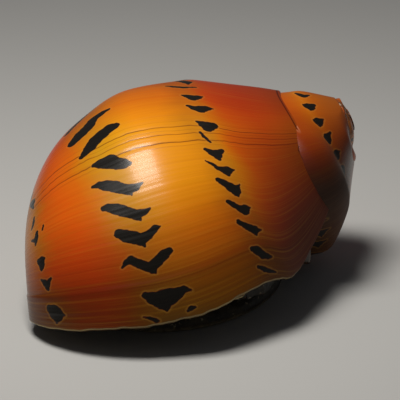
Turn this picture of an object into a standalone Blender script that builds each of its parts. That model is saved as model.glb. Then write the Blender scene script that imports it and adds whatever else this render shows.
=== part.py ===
"""A nerite snail at life size, settled low on its foot with its head drawn in under the shell.

The frame is metres with +Z up. X runs to the right of the viewer, Y away from the viewer, and
the origin is on the floor below the middle of the shell. Lengths below are in millimetres and
pass through MM once, when a mesh is made.
"""
import math

import bmesh
import bpy
import numpy as np
from mathutils import Matrix, Vector

MM = 0.001
GAP = 0.3                        # clear distance between neighbouring pieces

# The coil. Each whorl is the one before it, made larger about a fixed centre on the axis.
WIDER_PER_TURN = 2.54            # how much the radius grows in one turn
LONGER_PER_TURN = 2.41           # how much the reach along the axis grows in one turn
COIL_CENTRE = (11.55, 7.3, 9.95)
AXIS_HEADING = 201.3             # degrees round Z, the way the axis runs from apex to base
AXIS_TILT = 119.2                # degrees down from straight up
LIP_TURN = 139.9                 # degrees round the axis, where the lip's angles start

# The lip, from the suture round the outside to the end of the columella.
LIP_RADIUS = (5.6, 9.95, 11.1, 12.55, 12.6, 11.9, 9.7, 6.3, 3.8)
LIP_REACH = (7.1, 11.55, 13.35, 16.8, 19.9, 22.8, 25.6, 26.15, 21.6)
LIP_ANGLE = (67.5, 59.0, 50.0, 44.0, 39.5, 33.0, 23.5, 8.5, -10.0)
LIP_END = len(LIP_RADIUS) - 1
LIP_STEPS = 40                   # facets along the lip

LIP_MARGIN = 0.15                # the newest band stops this short of both ends of the lip
LIP_CORNER = (0.5, 1.7)          # the stretch where the lip draws back towards the suture
LIP_CORNER_CUT = 3.6             # degrees by which it draws back there

# Stations of growth, in degrees before the lip.
REST_LINE = -12.0                # the last rest line, where the newest shell begins
BODY_WHORL_START = -358.0
SPIRE_START = -330.0
TIP_START = -630.0               # from here to the end the spire is made of coarser rings
SPIRE_END = -960.0
JOIN_OVERLAP = 10.0              # how far the two lengths of the spire run into each other
ROOM_JOINS = (-160.0, -180.0)    # where the first room ends and where the second one starts
ROOM_PAST_LIP = 30.0
GROWTH_STEP = 7.0                # degrees between rings
SPIRE_STEP = 11.0
TIP_STEP = 14.0

# Two uneven spells of growth, as station, spread in degrees and share of the size.
SPELLS = ((-325.0, 42.0, -0.07), (-478.0, 55.0, 0.075))

# The inside of the coil, along and round the axis.
AXIS_THREAD = 0.4                # distance of the inner path from the axis
ROOM_THREAD = 0.05               # the same for the room that a whorl needs
INNER_BEND = (30.0, 14.0)        # degrees past the suture and reach, where the inner path bends
END_PAD = 1.5                    # a room's end, in gaps beyond the suture
START_PAD = 1.4                  # a room's start, in gaps ahead of the whorl's first ring
CORE_RADIUS = 0.8                # the solid core round the axis
BODY_CORE = (8.0, 20.0)          # the reach of the core in the body whorl
SPIRE_CORE = (0.8, 4.4)          # and in the spire
BORE_RADIUS = 0.6                # the hole left in the spire where the body's core begins
BORE_REACH = 12.0
START_FACES = 29.0               # degrees, the middle of the angles that a start face spans
APEX_PARTED = 2.95               # along the axis from the coil centre, where the tip is parted
APEX_WEAR_CENTRE = (6.6, 6.0, 7.8)      # wear has rounded the tip to part of a sphere
APEX_WEAR_RADIUS = 3.5

# The underside.
DECK_LEVEL = 1.66                # height of the flat deck over the floor
DECK_THICK = 1.1
DECK_FRONT_LEFT = (-6.9, -2.2)
DECK_FRONT_RIGHT = (7.2, -0.2)
DECK_DEPTH = 9.4
DECK_TEETH = 9
TEETH_SPAN = (0.12, 0.88)        # the shares of the deck's front edge between which they stand
TOOTH_RADIUS = 0.5
TOOTH_TAPER = 0.25               # the share by which the outermost teeth are smaller
TOOTH_HEIGHT = 0.42              # half a tooth's height as a share of the deck's thickness
MOUTH_DEPTH = 3.6                # how far ahead of the deck the opening is cleared
MOUTH_HEIGHT = 6.5
MOUTH_INSET = 0.12               # share of the deck's width that the opening stands in
MOUTH_BELOW = 1.0                # how far below the deck the cut for it starts
WALL = 0.95                      # shell thickness behind the lip
LIP_THICK = 0.5                  # shell thickness at the edge
HOLLOW_END = -100.0              # how far back the hollow behind the lip runs, in degrees
HOLLOW_PAST_LIP = 20.0           # how far ahead of the lip the cut for it runs
HOLLOW_SPAN = (0.5, 7.6)         # the part of the lip that the hollow takes up

# The soft body. It faces the viewer's left and lies in the hollow and on the floor.
HEADING = 240.0                  # degrees round Z
BODY_CENTRE = (-0.6, -0.4)       # on the floor, the middle of the animal
FOOT_OFFSET = (-0.3, -0.5)       # forward and left of that middle
FOOT_HALF_LENGTH = 8.0
FOOT_HALF_WIDTH = 6.0
FOOT_FRONT_WIDER = 0.06          # the share by which the front is wider than the middle
FOOT_SIDES = 56
FOOT_SIDE = ((0.0, -0.5), (0.12, -0.15), (0.4, 0.0), (0.8, -0.15), (1.15, -0.55),
             (DECK_LEVEL - GAP, -1.2))     # height, and how far the rim stands out there
OPERCULUM_FRONT = -1.4           # forward of the foot's middle
OPERCULUM_HALF_LENGTH = 4.9
OPERCULUM_WIDTH = 5.0
OPERCULUM_LOW = 0.86
TRUNK_FRONT = 3.1
TRUNK_SHORT = 9.0                # degrees by which it ends before the hollow does
TRUNK_END = 8.0                  # degrees of growth past the lip
FRINGE_ROOM = (-52.0, 25.0)      # degrees of growth over which the trunk clears the lip
TRUNK_FILL = 0.80                # share of the hollow's width that the trunk takes up
HEAD = ((5.3, 0.0, 3.6), (2.9, 2.4, 2.1))       # centre on the body, and half sizes
SNOUT = ((7.5, 0.0, 2.45), (2.0, 1.75, 1.45))
SNOUT_BACK = 7.2
SNOUT_PITCH = 25.0               # degrees, nose down
MOUTH_DROOP = 32.0               # degrees below the snout's own nose
LIP_SPREAD = 0.36                # of each lip from the line of the mouth
LIP_SIZE = (0.42, 1.0, 0.42)
LIP_SUNK = -0.05                 # how far the lips' middle stands out of the snout
SLIT_SIZE = (0.5, 0.85, 0.13)
SLIT_PROUD = 0.35                # how far the middle of the cut for the mouth stands out
NECK_CENTRE = (-0.4, -4.6, 3.0)
NECK_SIZE = (5.2, 2.9, 4.5)
NECK_TURN = 8.0
LEFT_TENTACLE = ((6.4, 1.6, 3.6), (6.3, 3.1, 3.3), (5.5, 4.6, 2.9), (4.6, 5.7, 2.5), (3.7, 6.3, 2.2))
RIGHT_TENTACLE = ((6.4, -1.6, 3.6), (6.3, -2.9, 3.5), (7.0, -3.5, 3.2), (7.9, -3.3, 2.8),
                  (8.6, -2.8, 2.4))
TENTACLE_LOWER = (0.5, 0.46, 0.4)
TENTACLE_UPPER = (0.4, 0.33, 0.2)
TENTACLE_STEPS = 8               # straight lengths along a tentacle, half of them in each part
TENTACLE_GAP = 1.3 * GAP         # between the two parts, along the middle line
EYESTALK = ((4.9, 1.6, 4.6), (5.0, 2.7, 5.4))
EYESTALK_RADII = (0.6, 0.52, 0.5)
EYE_RADIUS = 0.38
EYE_PROUD = 0.45                 # share of its radius by which an eye stands past its stalk
EYE_GAP = 0.25
MANTLE_PEEP = 1.6                # degrees of growth past the shell's edge
MANTLE_THICK = 0.5
MANTLE_CLEAR = 1.3 * GAP         # from the inside of the lip, which it lines
MANTLE_SPAN = (0.9, 7.2)

FAR = 30.0                       # half the size of a block that cuts everything on one side

COLOURS = {
    "shell": ((0.62, 0.16, 0.02), 0.25),
    "spire": ((0.50, 0.09, 0.02), 0.3),
    "callus": ((0.78, 0.66, 0.42), 0.3),
    "plate": ((0.42, 0.30, 0.22), 0.4),
    "flesh": ((0.10, 0.08, 0.06), 0.5),
    "rim": ((0.55, 0.42, 0.22), 0.5),
    "eye": ((0.01, 0.01, 0.01), 0.1),
}


def spline(values, place):
    """Read a natural cubic spline through evenly spaced values at the given places."""
    v = np.array(values, float)
    last = len(v) - 1
    system = np.eye(last + 1)
    bend = np.zeros(last + 1)
    for i in range(1, last):
        system[i, i - 1:i + 2] = (1.0, 4.0, 1.0)
        bend[i] = 6.0 * (v[i - 1] - 2.0 * v[i] + v[i + 1])
    curve = np.linalg.solve(system, bend)
    p = np.asarray(place, float)
    i = np.clip(np.floor(p).astype(int), 0, last - 1)
    b = p - i
    a = 1.0 - b
    return (a * v[i] + b * v[i + 1]
            + (a ** 3 - a) * curve[i] / 6.0 + (b ** 3 - b) * curve[i + 1] / 6.0)


def coil_turn():
    """The turn that lays the coil's own axes into the part's frame."""
    turn = (Matrix.Rotation(math.radians(AXIS_HEADING), 3, "Z")
            @ Matrix.Rotation(math.radians(AXIS_TILT), 3, "Y")
            @ Matrix.Rotation(math.radians(LIP_TURN), 3, "Z"))
    return np.array(turn)


def from_coil(radius, angle, reach):
    """A point given by its distance from the axis, its angle and its place along the axis."""
    radius, angle, reach = np.broadcast_arrays(radius, np.radians(angle), reach)
    local = np.stack([radius * np.cos(angle), -radius * np.sin(angle), reach], -1)
    return local @ coil_turn().T + np.array(COIL_CENTRE)


def whorl_size(growth):
    """The whorl's radius and its reach at a station, as shares of those at the lip."""
    growth = np.asarray(growth, float)
    spell = 1.0 + sum(share * np.exp(-((growth - station) / spread) ** 2)
                      for station, spread, share in SPELLS)
    turns = growth / 360.0
    return WIDER_PER_TURN ** turns * spell, LONGER_PER_TURN ** turns * spell


def shell_skin(along, growth):
    """The shell's outer surface, at a place along the lip and a growth angle in degrees."""
    along, growth = np.broadcast_arrays(np.asarray(along, float), np.asarray(growth, float))
    wide, reach = whorl_size(growth)
    return from_coil(wide * spline(LIP_RADIUS, along), growth + spline(LIP_ANGLE, along),
                     reach * spline(LIP_REACH, along))


def shell_depth(along, growth, depth):
    """A point at a given depth below the outer surface. A negative depth lies outside it."""
    along, growth = np.broadcast_arrays(np.asarray(along, float), np.asarray(growth, float))
    step = 0.02
    low = np.clip(along - step, 0.0, LIP_END)
    high = np.clip(along + step, 0.0, LIP_END)
    across = shell_skin(high, growth) - shell_skin(low, growth)
    onward = shell_skin(along, growth + 1.0) - shell_skin(along, growth - 1.0)
    outward = np.cross(across, onward)
    outward /= np.linalg.norm(outward, axis=-1, keepdims=True)
    return shell_skin(along, growth) - np.asarray(depth)[..., None] * outward


def paint(obj, colour_name):
    """Give an object its own plain material."""
    colour, roughness = COLOURS[colour_name]
    material = bpy.data.materials.new(obj.name + "_finish")
    material.use_nodes = True
    shader = material.node_tree.nodes["Principled BSDF"]
    shader.inputs["Base Color"].default_value = (*colour, 1.0)
    shader.inputs["Roughness"].default_value = roughness
    shader.inputs["Metallic"].default_value = 0.0
    obj.data.materials.clear()
    obj.data.materials.append(material)


def collection(name):
    """The collection of that name, made when it is first asked for."""
    found = bpy.data.collections.get(name)
    if found is None:
        found = bpy.data.collections.new(name)
        bpy.context.scene.collection.children.link(found)
    return found


def new_object(name, points, faces):
    """A mesh object from points in millimetres, with its faces turned outward."""
    mesh = bpy.data.meshes.new(name)
    mesh.from_pydata([tuple(p) for p in np.asarray(points) * MM], [], faces)
    obj = bpy.data.objects.new(name, mesh)
    collection("workpieces").objects.link(obj)
    tidy(obj)
    return obj


def tidy(obj):
    """Weld points that coincide and turn the faces outward."""
    work = bmesh.new()
    work.from_mesh(obj.data)
    bmesh.ops.remove_doubles(work, verts=work.verts, dist=0.002 * MM)
    bmesh.ops.recalc_face_normals(work, faces=work.faces)
    work.to_mesh(obj.data)
    work.free()


def loft(name, rings):
    """A closed solid through rings of equal length, closed by a fan at each end."""
    count = len(rings[0])
    points = [p for ring in rings for p in ring]
    faces = []
    for r in range(len(rings) - 1):
        for i in range(count):
            j = (i + 1) % count
            a = r * count
            b = a + count
            faces.append((a + i, a + j, b + j, b + i))
    for start, ring in ((0, rings[0]), ((len(rings) - 1) * count, rings[-1])):
        points.append(np.mean(ring, axis=0))
        hub = len(points) - 1
        faces.extend((start + i, start + (i + 1) % count, hub) for i in range(count))
    return new_object(name, points, faces)


def combine(target, tools, operation, solver="EXACT"):
    """Apply one Boolean of the tools on the target, and remove the tools."""
    cutters = collection("cutters")
    for tool in tools:
        for home in list(tool.users_collection):
            home.objects.unlink(tool)
        cutters.objects.link(tool)
        tool.hide_render = True
        tool.display_type = "WIRE"
    step = target.modifiers.new(operation.title(), "BOOLEAN")
    step.operation = operation
    step.solver = solver
    step.operand_type = "COLLECTION"
    step.collection = cutters
    bpy.context.view_layer.update()
    graph = bpy.context.evaluated_depsgraph_get()
    mesh = bpy.data.meshes.new_from_object(target.evaluated_get(graph))
    target.modifiers.remove(step)
    target.data = mesh
    for tool in tools:
        bpy.data.objects.remove(tool)
    keep_largest(target)


def keep_largest(obj):
    """Keep only the largest closed surface of a mesh."""
    work = bmesh.new()
    work.from_mesh(obj.data)
    bmesh.ops.remove_doubles(work, verts=work.verts, dist=0.002 * MM)
    work.faces.ensure_lookup_table()
    unseen = set(work.faces)
    groups = []
    while unseen:
        seed = unseen.pop()
        group = [seed]
        front = [seed]
        while front:
            face = front.pop()
            for edge in face.edges:
                for other in edge.link_faces:
                    if other in unseen:
                        unseen.discard(other)
                        group.append(other)
                        front.append(other)
        groups.append(group)
    groups.sort(key=lambda group: sum(face.calc_area() for face in group))
    spare = [face for group in groups[:-1] for face in group]
    bmesh.ops.delete(work, geom=spare, context="FACES")
    work.to_mesh(obj.data)
    work.free()


def copy_of(obj, name):
    """A second object with its own copy of the mesh."""
    twin = bpy.data.objects.new(name, obj.data.copy())
    collection("workpieces").objects.link(twin)
    return twin


def finish(obj, name, colour_name):
    """Name a finished piece, paint it and put it with the snail's parts."""
    obj.name = name
    obj.data.name = name
    for home in list(obj.users_collection):
        home.objects.unlink(obj)
    collection("nerite_snail").objects.link(obj)
    paint(obj, colour_name)
    obj.data.shade_smooth()
    obj.data.set_sharp_from_angle(angle=math.radians(40.0))
    return obj


def growth_stations(start, end, step):
    """Even stations of growth between two angles."""
    count = max(2, round(abs(end - start) / step) + 1)
    return np.linspace(start, end, count)


def whorl(name, start, end, steps=LIP_STEPS, step=GROWTH_STEP, outset=0.0, stop_short=0.0):
    """One length of the coiled tube, solid to the axis, or the room that it needs all round."""
    along = np.linspace(0.0, LIP_END, steps + 1)
    bend_turn, bend_reach = INNER_BEND
    rings = []
    for growth in growth_stations(start, end, step):
        wide, reach = whorl_size(growth)
        here = np.full_like(along, growth)
        if growth == end:
            here -= stop_short * np.degrees(1.0 / np.maximum(wide * spline(LIP_RADIUS, along), 1.0))
        skin = shell_depth(along, here, np.full_like(along, -outset))
        thread = (ROOM_THREAD if outset else AXIS_THREAD) * wide
        first = reach * LIP_REACH[0] - END_PAD * outset
        inner = [from_coil(thread, here[-1] + LIP_ANGLE[-1], reach * LIP_REACH[-1] + outset),
                 from_coil(thread, here[0] + bend_turn, reach * bend_reach),
                 from_coil(thread, here[0] + LIP_ANGLE[0], first)]
        if outset:
            inner.append(from_coil(wide * LIP_RADIUS[0] + outset, here[0] + LIP_ANGLE[0], first))
        rings.append(np.vstack([skin, inner]))
    if outset:
        facing = math.radians(start + START_FACES)
        backward = coil_turn() @ np.array((math.sin(facing), math.cos(facing), 0.0))
        rings.insert(0, rings[0] + START_PAD * outset * backward)
    return loft(name, rings)


def hollow(name, start, end, fill=1.0, steps=28, step=9.0):
    """The space behind the lip, or what fills a share of its width."""
    along = np.linspace(*HOLLOW_SPAN, steps + 1)
    rings = []
    for growth in growth_stations(start, end, step):
        ring = shell_depth(along, np.full_like(along, growth), np.full_like(along, WALL))
        middle = ring.mean(axis=0)
        rings.append(middle + (ring - middle) * fill)
    return loft(name, rings)


def lip_edge(along):
    """Degrees of growth by which the lip's edge draws back near the suture."""
    low, high = LIP_CORNER
    share = min(max((along - low) / (high - low), 0.0), 1.0)
    return -LIP_CORNER_CUT * (1.0 - share * share * (3.0 - 2.0 * share))


def band(name, start, end, outer, inner, span, steps=44, rows=3):
    """A thin strip that follows the lip, between two depths at each of its two edges."""
    rings = []
    for place in np.linspace(*span, steps + 1):
        growth = np.linspace(start, end + lip_edge(place), rows)
        down = np.linspace(*outer, rows)
        up = np.linspace(*inner, rows)
        ahead = shell_depth(np.full(rows, place), growth, down)
        back = shell_depth(np.full(rows, place), growth[::-1], up[::-1])
        rings.append(np.vstack([ahead, back]))
    return loft(name, rings)


def block(name, low, high):
    """A plain block between two corners."""
    bpy.ops.mesh.primitive_cube_add(size=1.0)
    obj = bpy.context.object
    obj.name = name
    for vertex in obj.data.vertices:
        vertex.co = Vector(MM * ((high[i] + low[i]) / 2.0 + (high[i] - low[i]) * vertex.co[i])
                           for i in range(3))
    return obj


def rod(name, start, end, radius, sides=24):
    """A plain round bar between two points."""
    start, end = Vector(start), Vector(end)
    bpy.ops.mesh.primitive_cylinder_add(vertices=sides, radius=radius * MM,
                                        depth=(end - start).length * MM)
    obj = bpy.context.object
    obj.name = name
    turn = (end - start).to_track_quat("Z", "Y").to_matrix().to_4x4()
    obj.data.transform(Matrix.Translation((start + end) / 2.0 * MM) @ turn)
    return obj


def ball(name, centre, radii, turn=Matrix.Identity(4), sides=24):
    """A sphere stretched to three radii, turned and set at a centre."""
    bpy.ops.mesh.primitive_uv_sphere_add(segments=sides, ring_count=sides // 2, radius=MM)
    obj = bpy.context.object
    obj.name = name
    obj.data.transform(Matrix.Translation(Vector(centre) * MM) @ turn
                       @ Matrix.Diagonal((*radii, 1.0)))
    return obj


def axis_point(reach):
    """A point on the coil's axis."""
    return from_coil(0.0, 0.0, reach)


def past_axis_plane(name, reach):
    """A block that takes up everything nearer the apex than a plane across the axis."""
    apex_way = Vector(axis_point(-1.0) - axis_point(0.0))
    obj = block(name, (-FAR, -FAR, 0.0), (FAR, FAR, FAR))
    turn = apex_way.to_track_quat("Z", "Y").to_matrix().to_4x4()
    obj.data.transform(Matrix.Translation(Vector(axis_point(reach)) * MM) @ turn)
    return obj


def d_outline(left, right, depth, spread=0.0, steps=28):
    """A straight edge between two points with a half oval behind it, on its right-hand side."""
    left, right = np.array(left, float), np.array(right, float)
    middle = (left + right) / 2.0
    half = np.linalg.norm(right - left) / 2.0
    along = (right - left) / (2.0 * half)
    back = np.array((-along[1], along[0]))
    angles = np.linspace(0.0, math.pi, steps + 1)
    arc = [middle + along * (half + spread) * math.cos(a) + back * (depth + spread) * math.sin(a)
           for a in angles]
    corners = [middle + along * (half + spread) - back * spread,
               middle - along * (half + spread) - back * spread]
    return [corners[0]] + arc + [corners[1]] if spread else arc


def slab(name, outline, low, high):
    """An upright solid over an outline."""
    rings = [[(p[0], p[1], level) for p in outline] for level in (low, high)]
    return loft(name, np.array(rings))


def deck_plate(name, spread=0.0):
    """The deck's plate, or the larger seat that it is set in."""
    outline = d_outline(DECK_FRONT_LEFT, DECK_FRONT_RIGHT, DECK_DEPTH, spread)
    return slab(name, outline, DECK_LEVEL - spread, DECK_LEVEL + DECK_THICK + spread)


def deck_teeth(spread=0.0):
    """Low knobs along the deck's front edge, largest in the middle."""
    left, right = Vector(DECK_FRONT_LEFT), Vector(DECK_FRONT_RIGHT)
    teeth = []
    for i in range(DECK_TEETH):
        share = (i + 1.0) / (DECK_TEETH + 1.0)
        place = left.lerp(right, TEETH_SPAN[0] + (TEETH_SPAN[1] - TEETH_SPAN[0]) * share)
        size = TOOTH_RADIUS * (1.0 - TOOTH_TAPER * (1.0 - math.sin(math.pi * share))) + spread
        centre = (place.x, place.y, DECK_LEVEL + DECK_THICK / 2.0)
        teeth.append(ball("tooth", centre, (size, size, DECK_THICK * TOOTH_HEIGHT + spread),
                          sides=10))
    return teeth


def below_deck():
    """A block that takes up everything below the level of the deck."""
    return block("under", (-FAR, -FAR, -FAR), (FAR, FAR, DECK_LEVEL))


def make_body_whorl():
    """The last full whorl, flat below, with the hollow that the soft body lives in."""
    body = whorl("body", BODY_WHORL_START, REST_LINE, stop_short=1.2 * GAP)
    combine(body, [rod("core", *map(axis_point, BODY_CORE), CORE_RADIUS)], "UNION",
            solver="MANIFOLD")
    left, right = np.array(DECK_FRONT_LEFT), np.array(DECK_FRONT_RIGHT)
    ahead = np.array((right[1] - left[1], left[0] - right[0]))
    ahead *= MOUTH_DEPTH / np.linalg.norm(ahead)
    inset = (right - left) * MOUTH_INSET
    edge = [left + inset / 2.0, right - inset * 2.0, right - inset * 2.0 + ahead,
            left + inset + ahead]
    mouth = slab("mouth", edge, DECK_LEVEL - MOUTH_BELOW, MOUTH_HEIGHT)
    space = hollow("space", HOLLOW_END, HOLLOW_PAST_LIP)
    for tool in (below_deck(), space, mouth, deck_plate("seat", GAP)):
        combine(body, [tool], "DIFFERENCE")
    return finish(body, "shell_body_whorl", "shell")


def make_lip():
    """The newest band of shell, from the last rest line to the edge."""
    lip = band("lip", REST_LINE, 0.0, (0.0, 0.0), (WALL, LIP_THICK),
               (LIP_MARGIN, LIP_END - LIP_MARGIN))
    combine(lip, [whorl("room", BODY_WHORL_START, REST_LINE, outset=GAP)], "DIFFERENCE")
    return finish(lip, "shell_lip", "shell")


def make_spire():
    """The earlier whorls that stand above the body whorl, and the worn tip."""
    spire = whorl("spire", TIP_START - JOIN_OVERLAP, SPIRE_START, steps=26, step=SPIRE_STEP)
    tip = whorl("tip", SPIRE_END, TIP_START, steps=20, step=TIP_STEP)
    core = rod("core", *map(axis_point, SPIRE_CORE), CORE_RADIUS)
    for tool in (tip, core):
        combine(spire, [tool], "UNION", solver="MANIFOLD")
    for room in (whorl("room", BODY_WHORL_START, ROOM_JOINS[0], outset=GAP),
                 whorl("room", ROOM_JOINS[1], ROOM_PAST_LIP, outset=GAP)):
        combine(spire, [room], "DIFFERENCE", solver="MANIFOLD")
    apex = copy_of(spire, "apex")
    bore = rod("bore", axis_point(0.0), axis_point(BORE_REACH), BORE_RADIUS)
    for tool in (past_axis_plane("cut", APEX_PARTED), bore):
        combine(spire, [tool], "DIFFERENCE", solver="MANIFOLD")
    combine(apex, [past_axis_plane("cut", APEX_PARTED - GAP)], "INTERSECT", solver="MANIFOLD")
    dome = ball("wear", APEX_WEAR_CENTRE, (APEX_WEAR_RADIUS,) * 3, sides=64)
    combine(apex, [dome], "INTERSECT", solver="MANIFOLD")
    finish(spire, "shell_spire", "spire")
    finish(apex, "shell_apex", "spire")


def make_deck():
    """The callus shelf across the underside, with its toothed front edge."""
    plate = deck_plate("plate")
    combine(plate, deck_teeth(), "UNION")
    return finish(plate, "shell_deck", "callus")


def on_body(forward, left, up):
    """A point given in the animal's own directions from its middle on the floor."""
    turn = math.radians(HEADING)
    ahead = Vector((math.cos(turn), math.sin(turn), 0.0))
    side = Vector((-math.sin(turn), math.cos(turn), 0.0))
    return Vector((*BODY_CENTRE, 0.0)) + ahead * forward + side * left + Vector((0.0, 0.0, up))


def body_turn(pitch=0.0, yaw=0.0):
    """The turn that lays +X along the animal's heading, then pitches and yaws it."""
    return (Matrix.Rotation(math.radians(HEADING + yaw), 4, "Z")
            @ Matrix.Rotation(math.radians(pitch), 4, "Y"))


def ahead_of(name, forward):
    """A block that takes up everything ahead of a plane across the animal's heading."""
    obj = block(name, (0.0, -FAR, -FAR), (FAR, FAR, FAR))
    obj.data.transform(Matrix.Translation(on_body(forward, 0.0, 0.0) * MM) @ body_turn())
    return obj


def behind(name, forward):
    """A block that takes up everything behind a plane across the animal's heading."""
    obj = block(name, (-FAR, -FAR, -FAR), (0.0, FAR, FAR))
    obj.data.transform(Matrix.Translation(on_body(forward, 0.0, 0.0) * MM) @ body_turn())
    return obj


def make_foot():
    """The broad foot, flat below, rounded at its rim, with a seat for the operculum."""
    rings = []
    for level, spread in FOOT_SIDE:
        ring = []
        for angle in np.linspace(0.0, 2.0 * math.pi, FOOT_SIDES, endpoint=False):
            forward = (FOOT_HALF_LENGTH + spread) * math.cos(angle)
            wide = FOOT_HALF_WIDTH * (1.0 + FOOT_FRONT_WIDER * math.cos(angle)) + spread
            ring.append(on_body(FOOT_OFFSET[0] + forward,
                                FOOT_OFFSET[1] + wide * math.sin(angle), level))
        rings.append(ring)
    foot = loft("foot", np.array(rings))
    seat = slab("seat", operculum_outline(GAP), OPERCULUM_LOW - GAP, DECK_LEVEL + 1.0)
    combine(foot, [seat], "DIFFERENCE")
    combine(foot, [ball("room", *grown(SNOUT), turn=body_turn(SNOUT_PITCH))], "DIFFERENCE")
    return finish(foot, "foot", "flesh")


def operculum_outline(spread=0.0):
    """The plate's half oval, its straight edge across the foot."""
    right = on_body(OPERCULUM_FRONT, OPERCULUM_HALF_LENGTH, 0.0).xy
    left = on_body(OPERCULUM_FRONT, -OPERCULUM_HALF_LENGTH, 0.0).xy
    return d_outline(right, left, OPERCULUM_WIDTH, spread)


def make_operculum():
    """The hard plate on the back of the foot, pressed under the deck."""
    plate = slab("operculum", operculum_outline(), OPERCULUM_LOW, DECK_LEVEL - GAP)
    return finish(plate, "operculum", "plate")


def grown(form, by=GAP):
    """The centre and radii of a rounded form, grown all round."""
    centre, radii = form
    return on_body(*centre), tuple(r + by for r in radii)


def make_trunk():
    """The body behind the head, from the foot up into the hollow of the shell."""
    trunk = hollow("trunk", HOLLOW_END + TRUNK_SHORT, TRUNK_END, fill=TRUNK_FILL)
    neck = ball("neck", NECK_CENTRE, NECK_SIZE, Matrix.Rotation(math.radians(NECK_TURN), 4, "Z"))
    combine(trunk, [neck], "UNION", solver="MANIFOLD")
    clear = WALL + MANTLE_THICK + 2.5 * GAP
    fringe = band("fringe", *FRINGE_ROOM, (-1.0, -1.0), (clear, clear), (0.0, LIP_END), rows=8)
    for tool in (below_deck(), ahead_of("ahead", TRUNK_FRONT), fringe,
                 deck_plate("room", 2.0 * GAP)):
        combine(trunk, [tool], "DIFFERENCE", solver="MANIFOLD")
    combine(trunk, deck_teeth(GAP), "DIFFERENCE", solver="MANIFOLD")
    return finish(trunk, "trunk", "flesh")


def tube(name, route, radii, steps=12):
    """A tapered tube along a smooth route, as one closed mesh."""
    curve = bpy.data.curves.new(name, "CURVE")
    curve.dimensions = "3D"
    curve.bevel_depth = MM
    curve.bevel_resolution = 3
    curve.use_fill_caps = True
    line = curve.splines.new("POLY")
    line.points.add(steps)
    places = np.linspace(0.0, len(route) - 1.0, steps + 1)
    columns = [spline([p[i] for p in route], places) for i in range(3)]
    sizes = np.interp(places, np.linspace(0.0, len(route) - 1.0, len(radii)), radii)
    for point, x, y, z, size in zip(line.points, *columns, sizes):
        point.co = (x * MM, y * MM, z * MM, 1.0)
        point.radius = size
    source = bpy.data.objects.new(name, curve)
    collection("workpieces").objects.link(source)
    bpy.context.view_layer.update()
    graph = bpy.context.evaluated_depsgraph_get()
    mesh = bpy.data.meshes.new_from_object(source.evaluated_get(graph))
    obj = bpy.data.objects.new(name, mesh)
    obj.matrix_world = source.matrix_world
    collection("workpieces").objects.link(obj)
    bpy.data.objects.remove(source)
    tidy(obj)
    return obj


def make_snout():
    """The short broad snout, nose down, with lips round a slit of a mouth."""
    nose = Matrix.Translation(on_body(*SNOUT[0]) * MM) @ body_turn(SNOUT_PITCH)
    snout = ball("snout", on_body(*SNOUT[0]), SNOUT[1], turn=body_turn(SNOUT_PITCH))
    droop = math.radians(MOUTH_DROOP)
    front = Vector((SNOUT[1][0] * math.cos(droop), 0.0, -SNOUT[1][2] * math.sin(droop)))
    mouth = nose @ Matrix.Translation(front * MM) @ Matrix.Rotation(droop, 4, "Y")
    lips = []
    for side in (1.0, -1.0):
        bpy.ops.mesh.primitive_uv_sphere_add(segments=16, ring_count=10, radius=MM)
        lip = bpy.context.object
        place = Matrix.Translation(Vector((LIP_SUNK, 0.0, side * LIP_SPREAD)) * MM)
        lip.data.transform(mouth @ place @ Matrix.Diagonal((*LIP_SIZE, 1.0)))
        lips.append(lip)
    combine(snout, lips, "UNION")
    bpy.ops.mesh.primitive_uv_sphere_add(segments=16, ring_count=8, radius=MM)
    slit = bpy.context.object
    place = Matrix.Translation(Vector((SLIT_PROUD, 0.0, 0.0)) * MM)
    slit.data.transform(mouth @ place @ Matrix.Diagonal((*SLIT_SIZE, 1.0)))
    combine(snout, [slit], "DIFFERENCE")
    combine(snout, [behind("cut", SNOUT_BACK)], "DIFFERENCE")
    return finish(snout, "snout", "flesh")


def head_room(name):
    """The head's rounded form grown by the gap, for what meets it."""
    centre, radii = grown(HEAD)
    return ball(name, centre, radii, turn=body_turn())


def make_head():
    """The head, flat where it meets the trunk, the snout and the foot."""
    head = ball("head", on_body(*HEAD[0]), HEAD[1], turn=body_turn())
    for tool in (behind("cut", TRUNK_FRONT + GAP), ahead_of("cut", SNOUT_BACK - GAP),
                 below_deck(), deck_plate("room", 2.0 * GAP)):
        combine(head, [tool], "DIFFERENCE")
    return finish(head, "head", "flesh")


def make_feelers():
    """The two tentacles, each in two lengths, and the two eyes on their short stalks."""
    for name, route in (("left", LEFT_TENTACLE), ("right", RIGHT_TENTACLE)):
        points = [on_body(*p) for p in route]
        places = np.linspace(0.0, len(points) - 1.0, TENTACLE_STEPS + 1)
        whole = np.array([spline([p[i] for p in points], places) for i in range(3)]).T
        middle = TENTACLE_STEPS // 2
        lower = tube("lower", whole[:middle + 1], TENTACLE_LOWER)
        combine(lower, [head_room("room")], "DIFFERENCE")
        step = whole[middle + 1] - whole[middle]
        start = whole[middle] + step * (TENTACLE_GAP / np.linalg.norm(step))
        upper = tube("upper", np.vstack([[start], whole[middle + 1:]]), TENTACLE_UPPER, steps=8)
        finish(lower, "tentacle_" + name, "flesh")
        finish(upper, "tentacle_tip_" + name, "flesh")
    for name, side in (("left", 1.0), ("right", -1.0)):
        root, end = (on_body(p[0], side * p[1], p[2]) for p in EYESTALK)
        stalk = tube("stalk", [root, (root + end) / 2.0, end], EYESTALK_RADII, steps=4)
        combine(stalk, [head_room("room")], "DIFFERENCE")
        out = (end - root).normalized()
        eye_centre = end + out * (EYE_RADIUS * EYE_PROUD)
        seat = ball("seat", eye_centre, (EYE_RADIUS + EYE_GAP,) * 3, sides=16)
        combine(stalk, [seat], "DIFFERENCE")
        eye = ball("eye", eye_centre, (EYE_RADIUS,) * 3, sides=16)
        finish(stalk, "eyestalk_" + name, "flesh")
        finish(eye, "eye_" + name, "eye")


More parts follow.
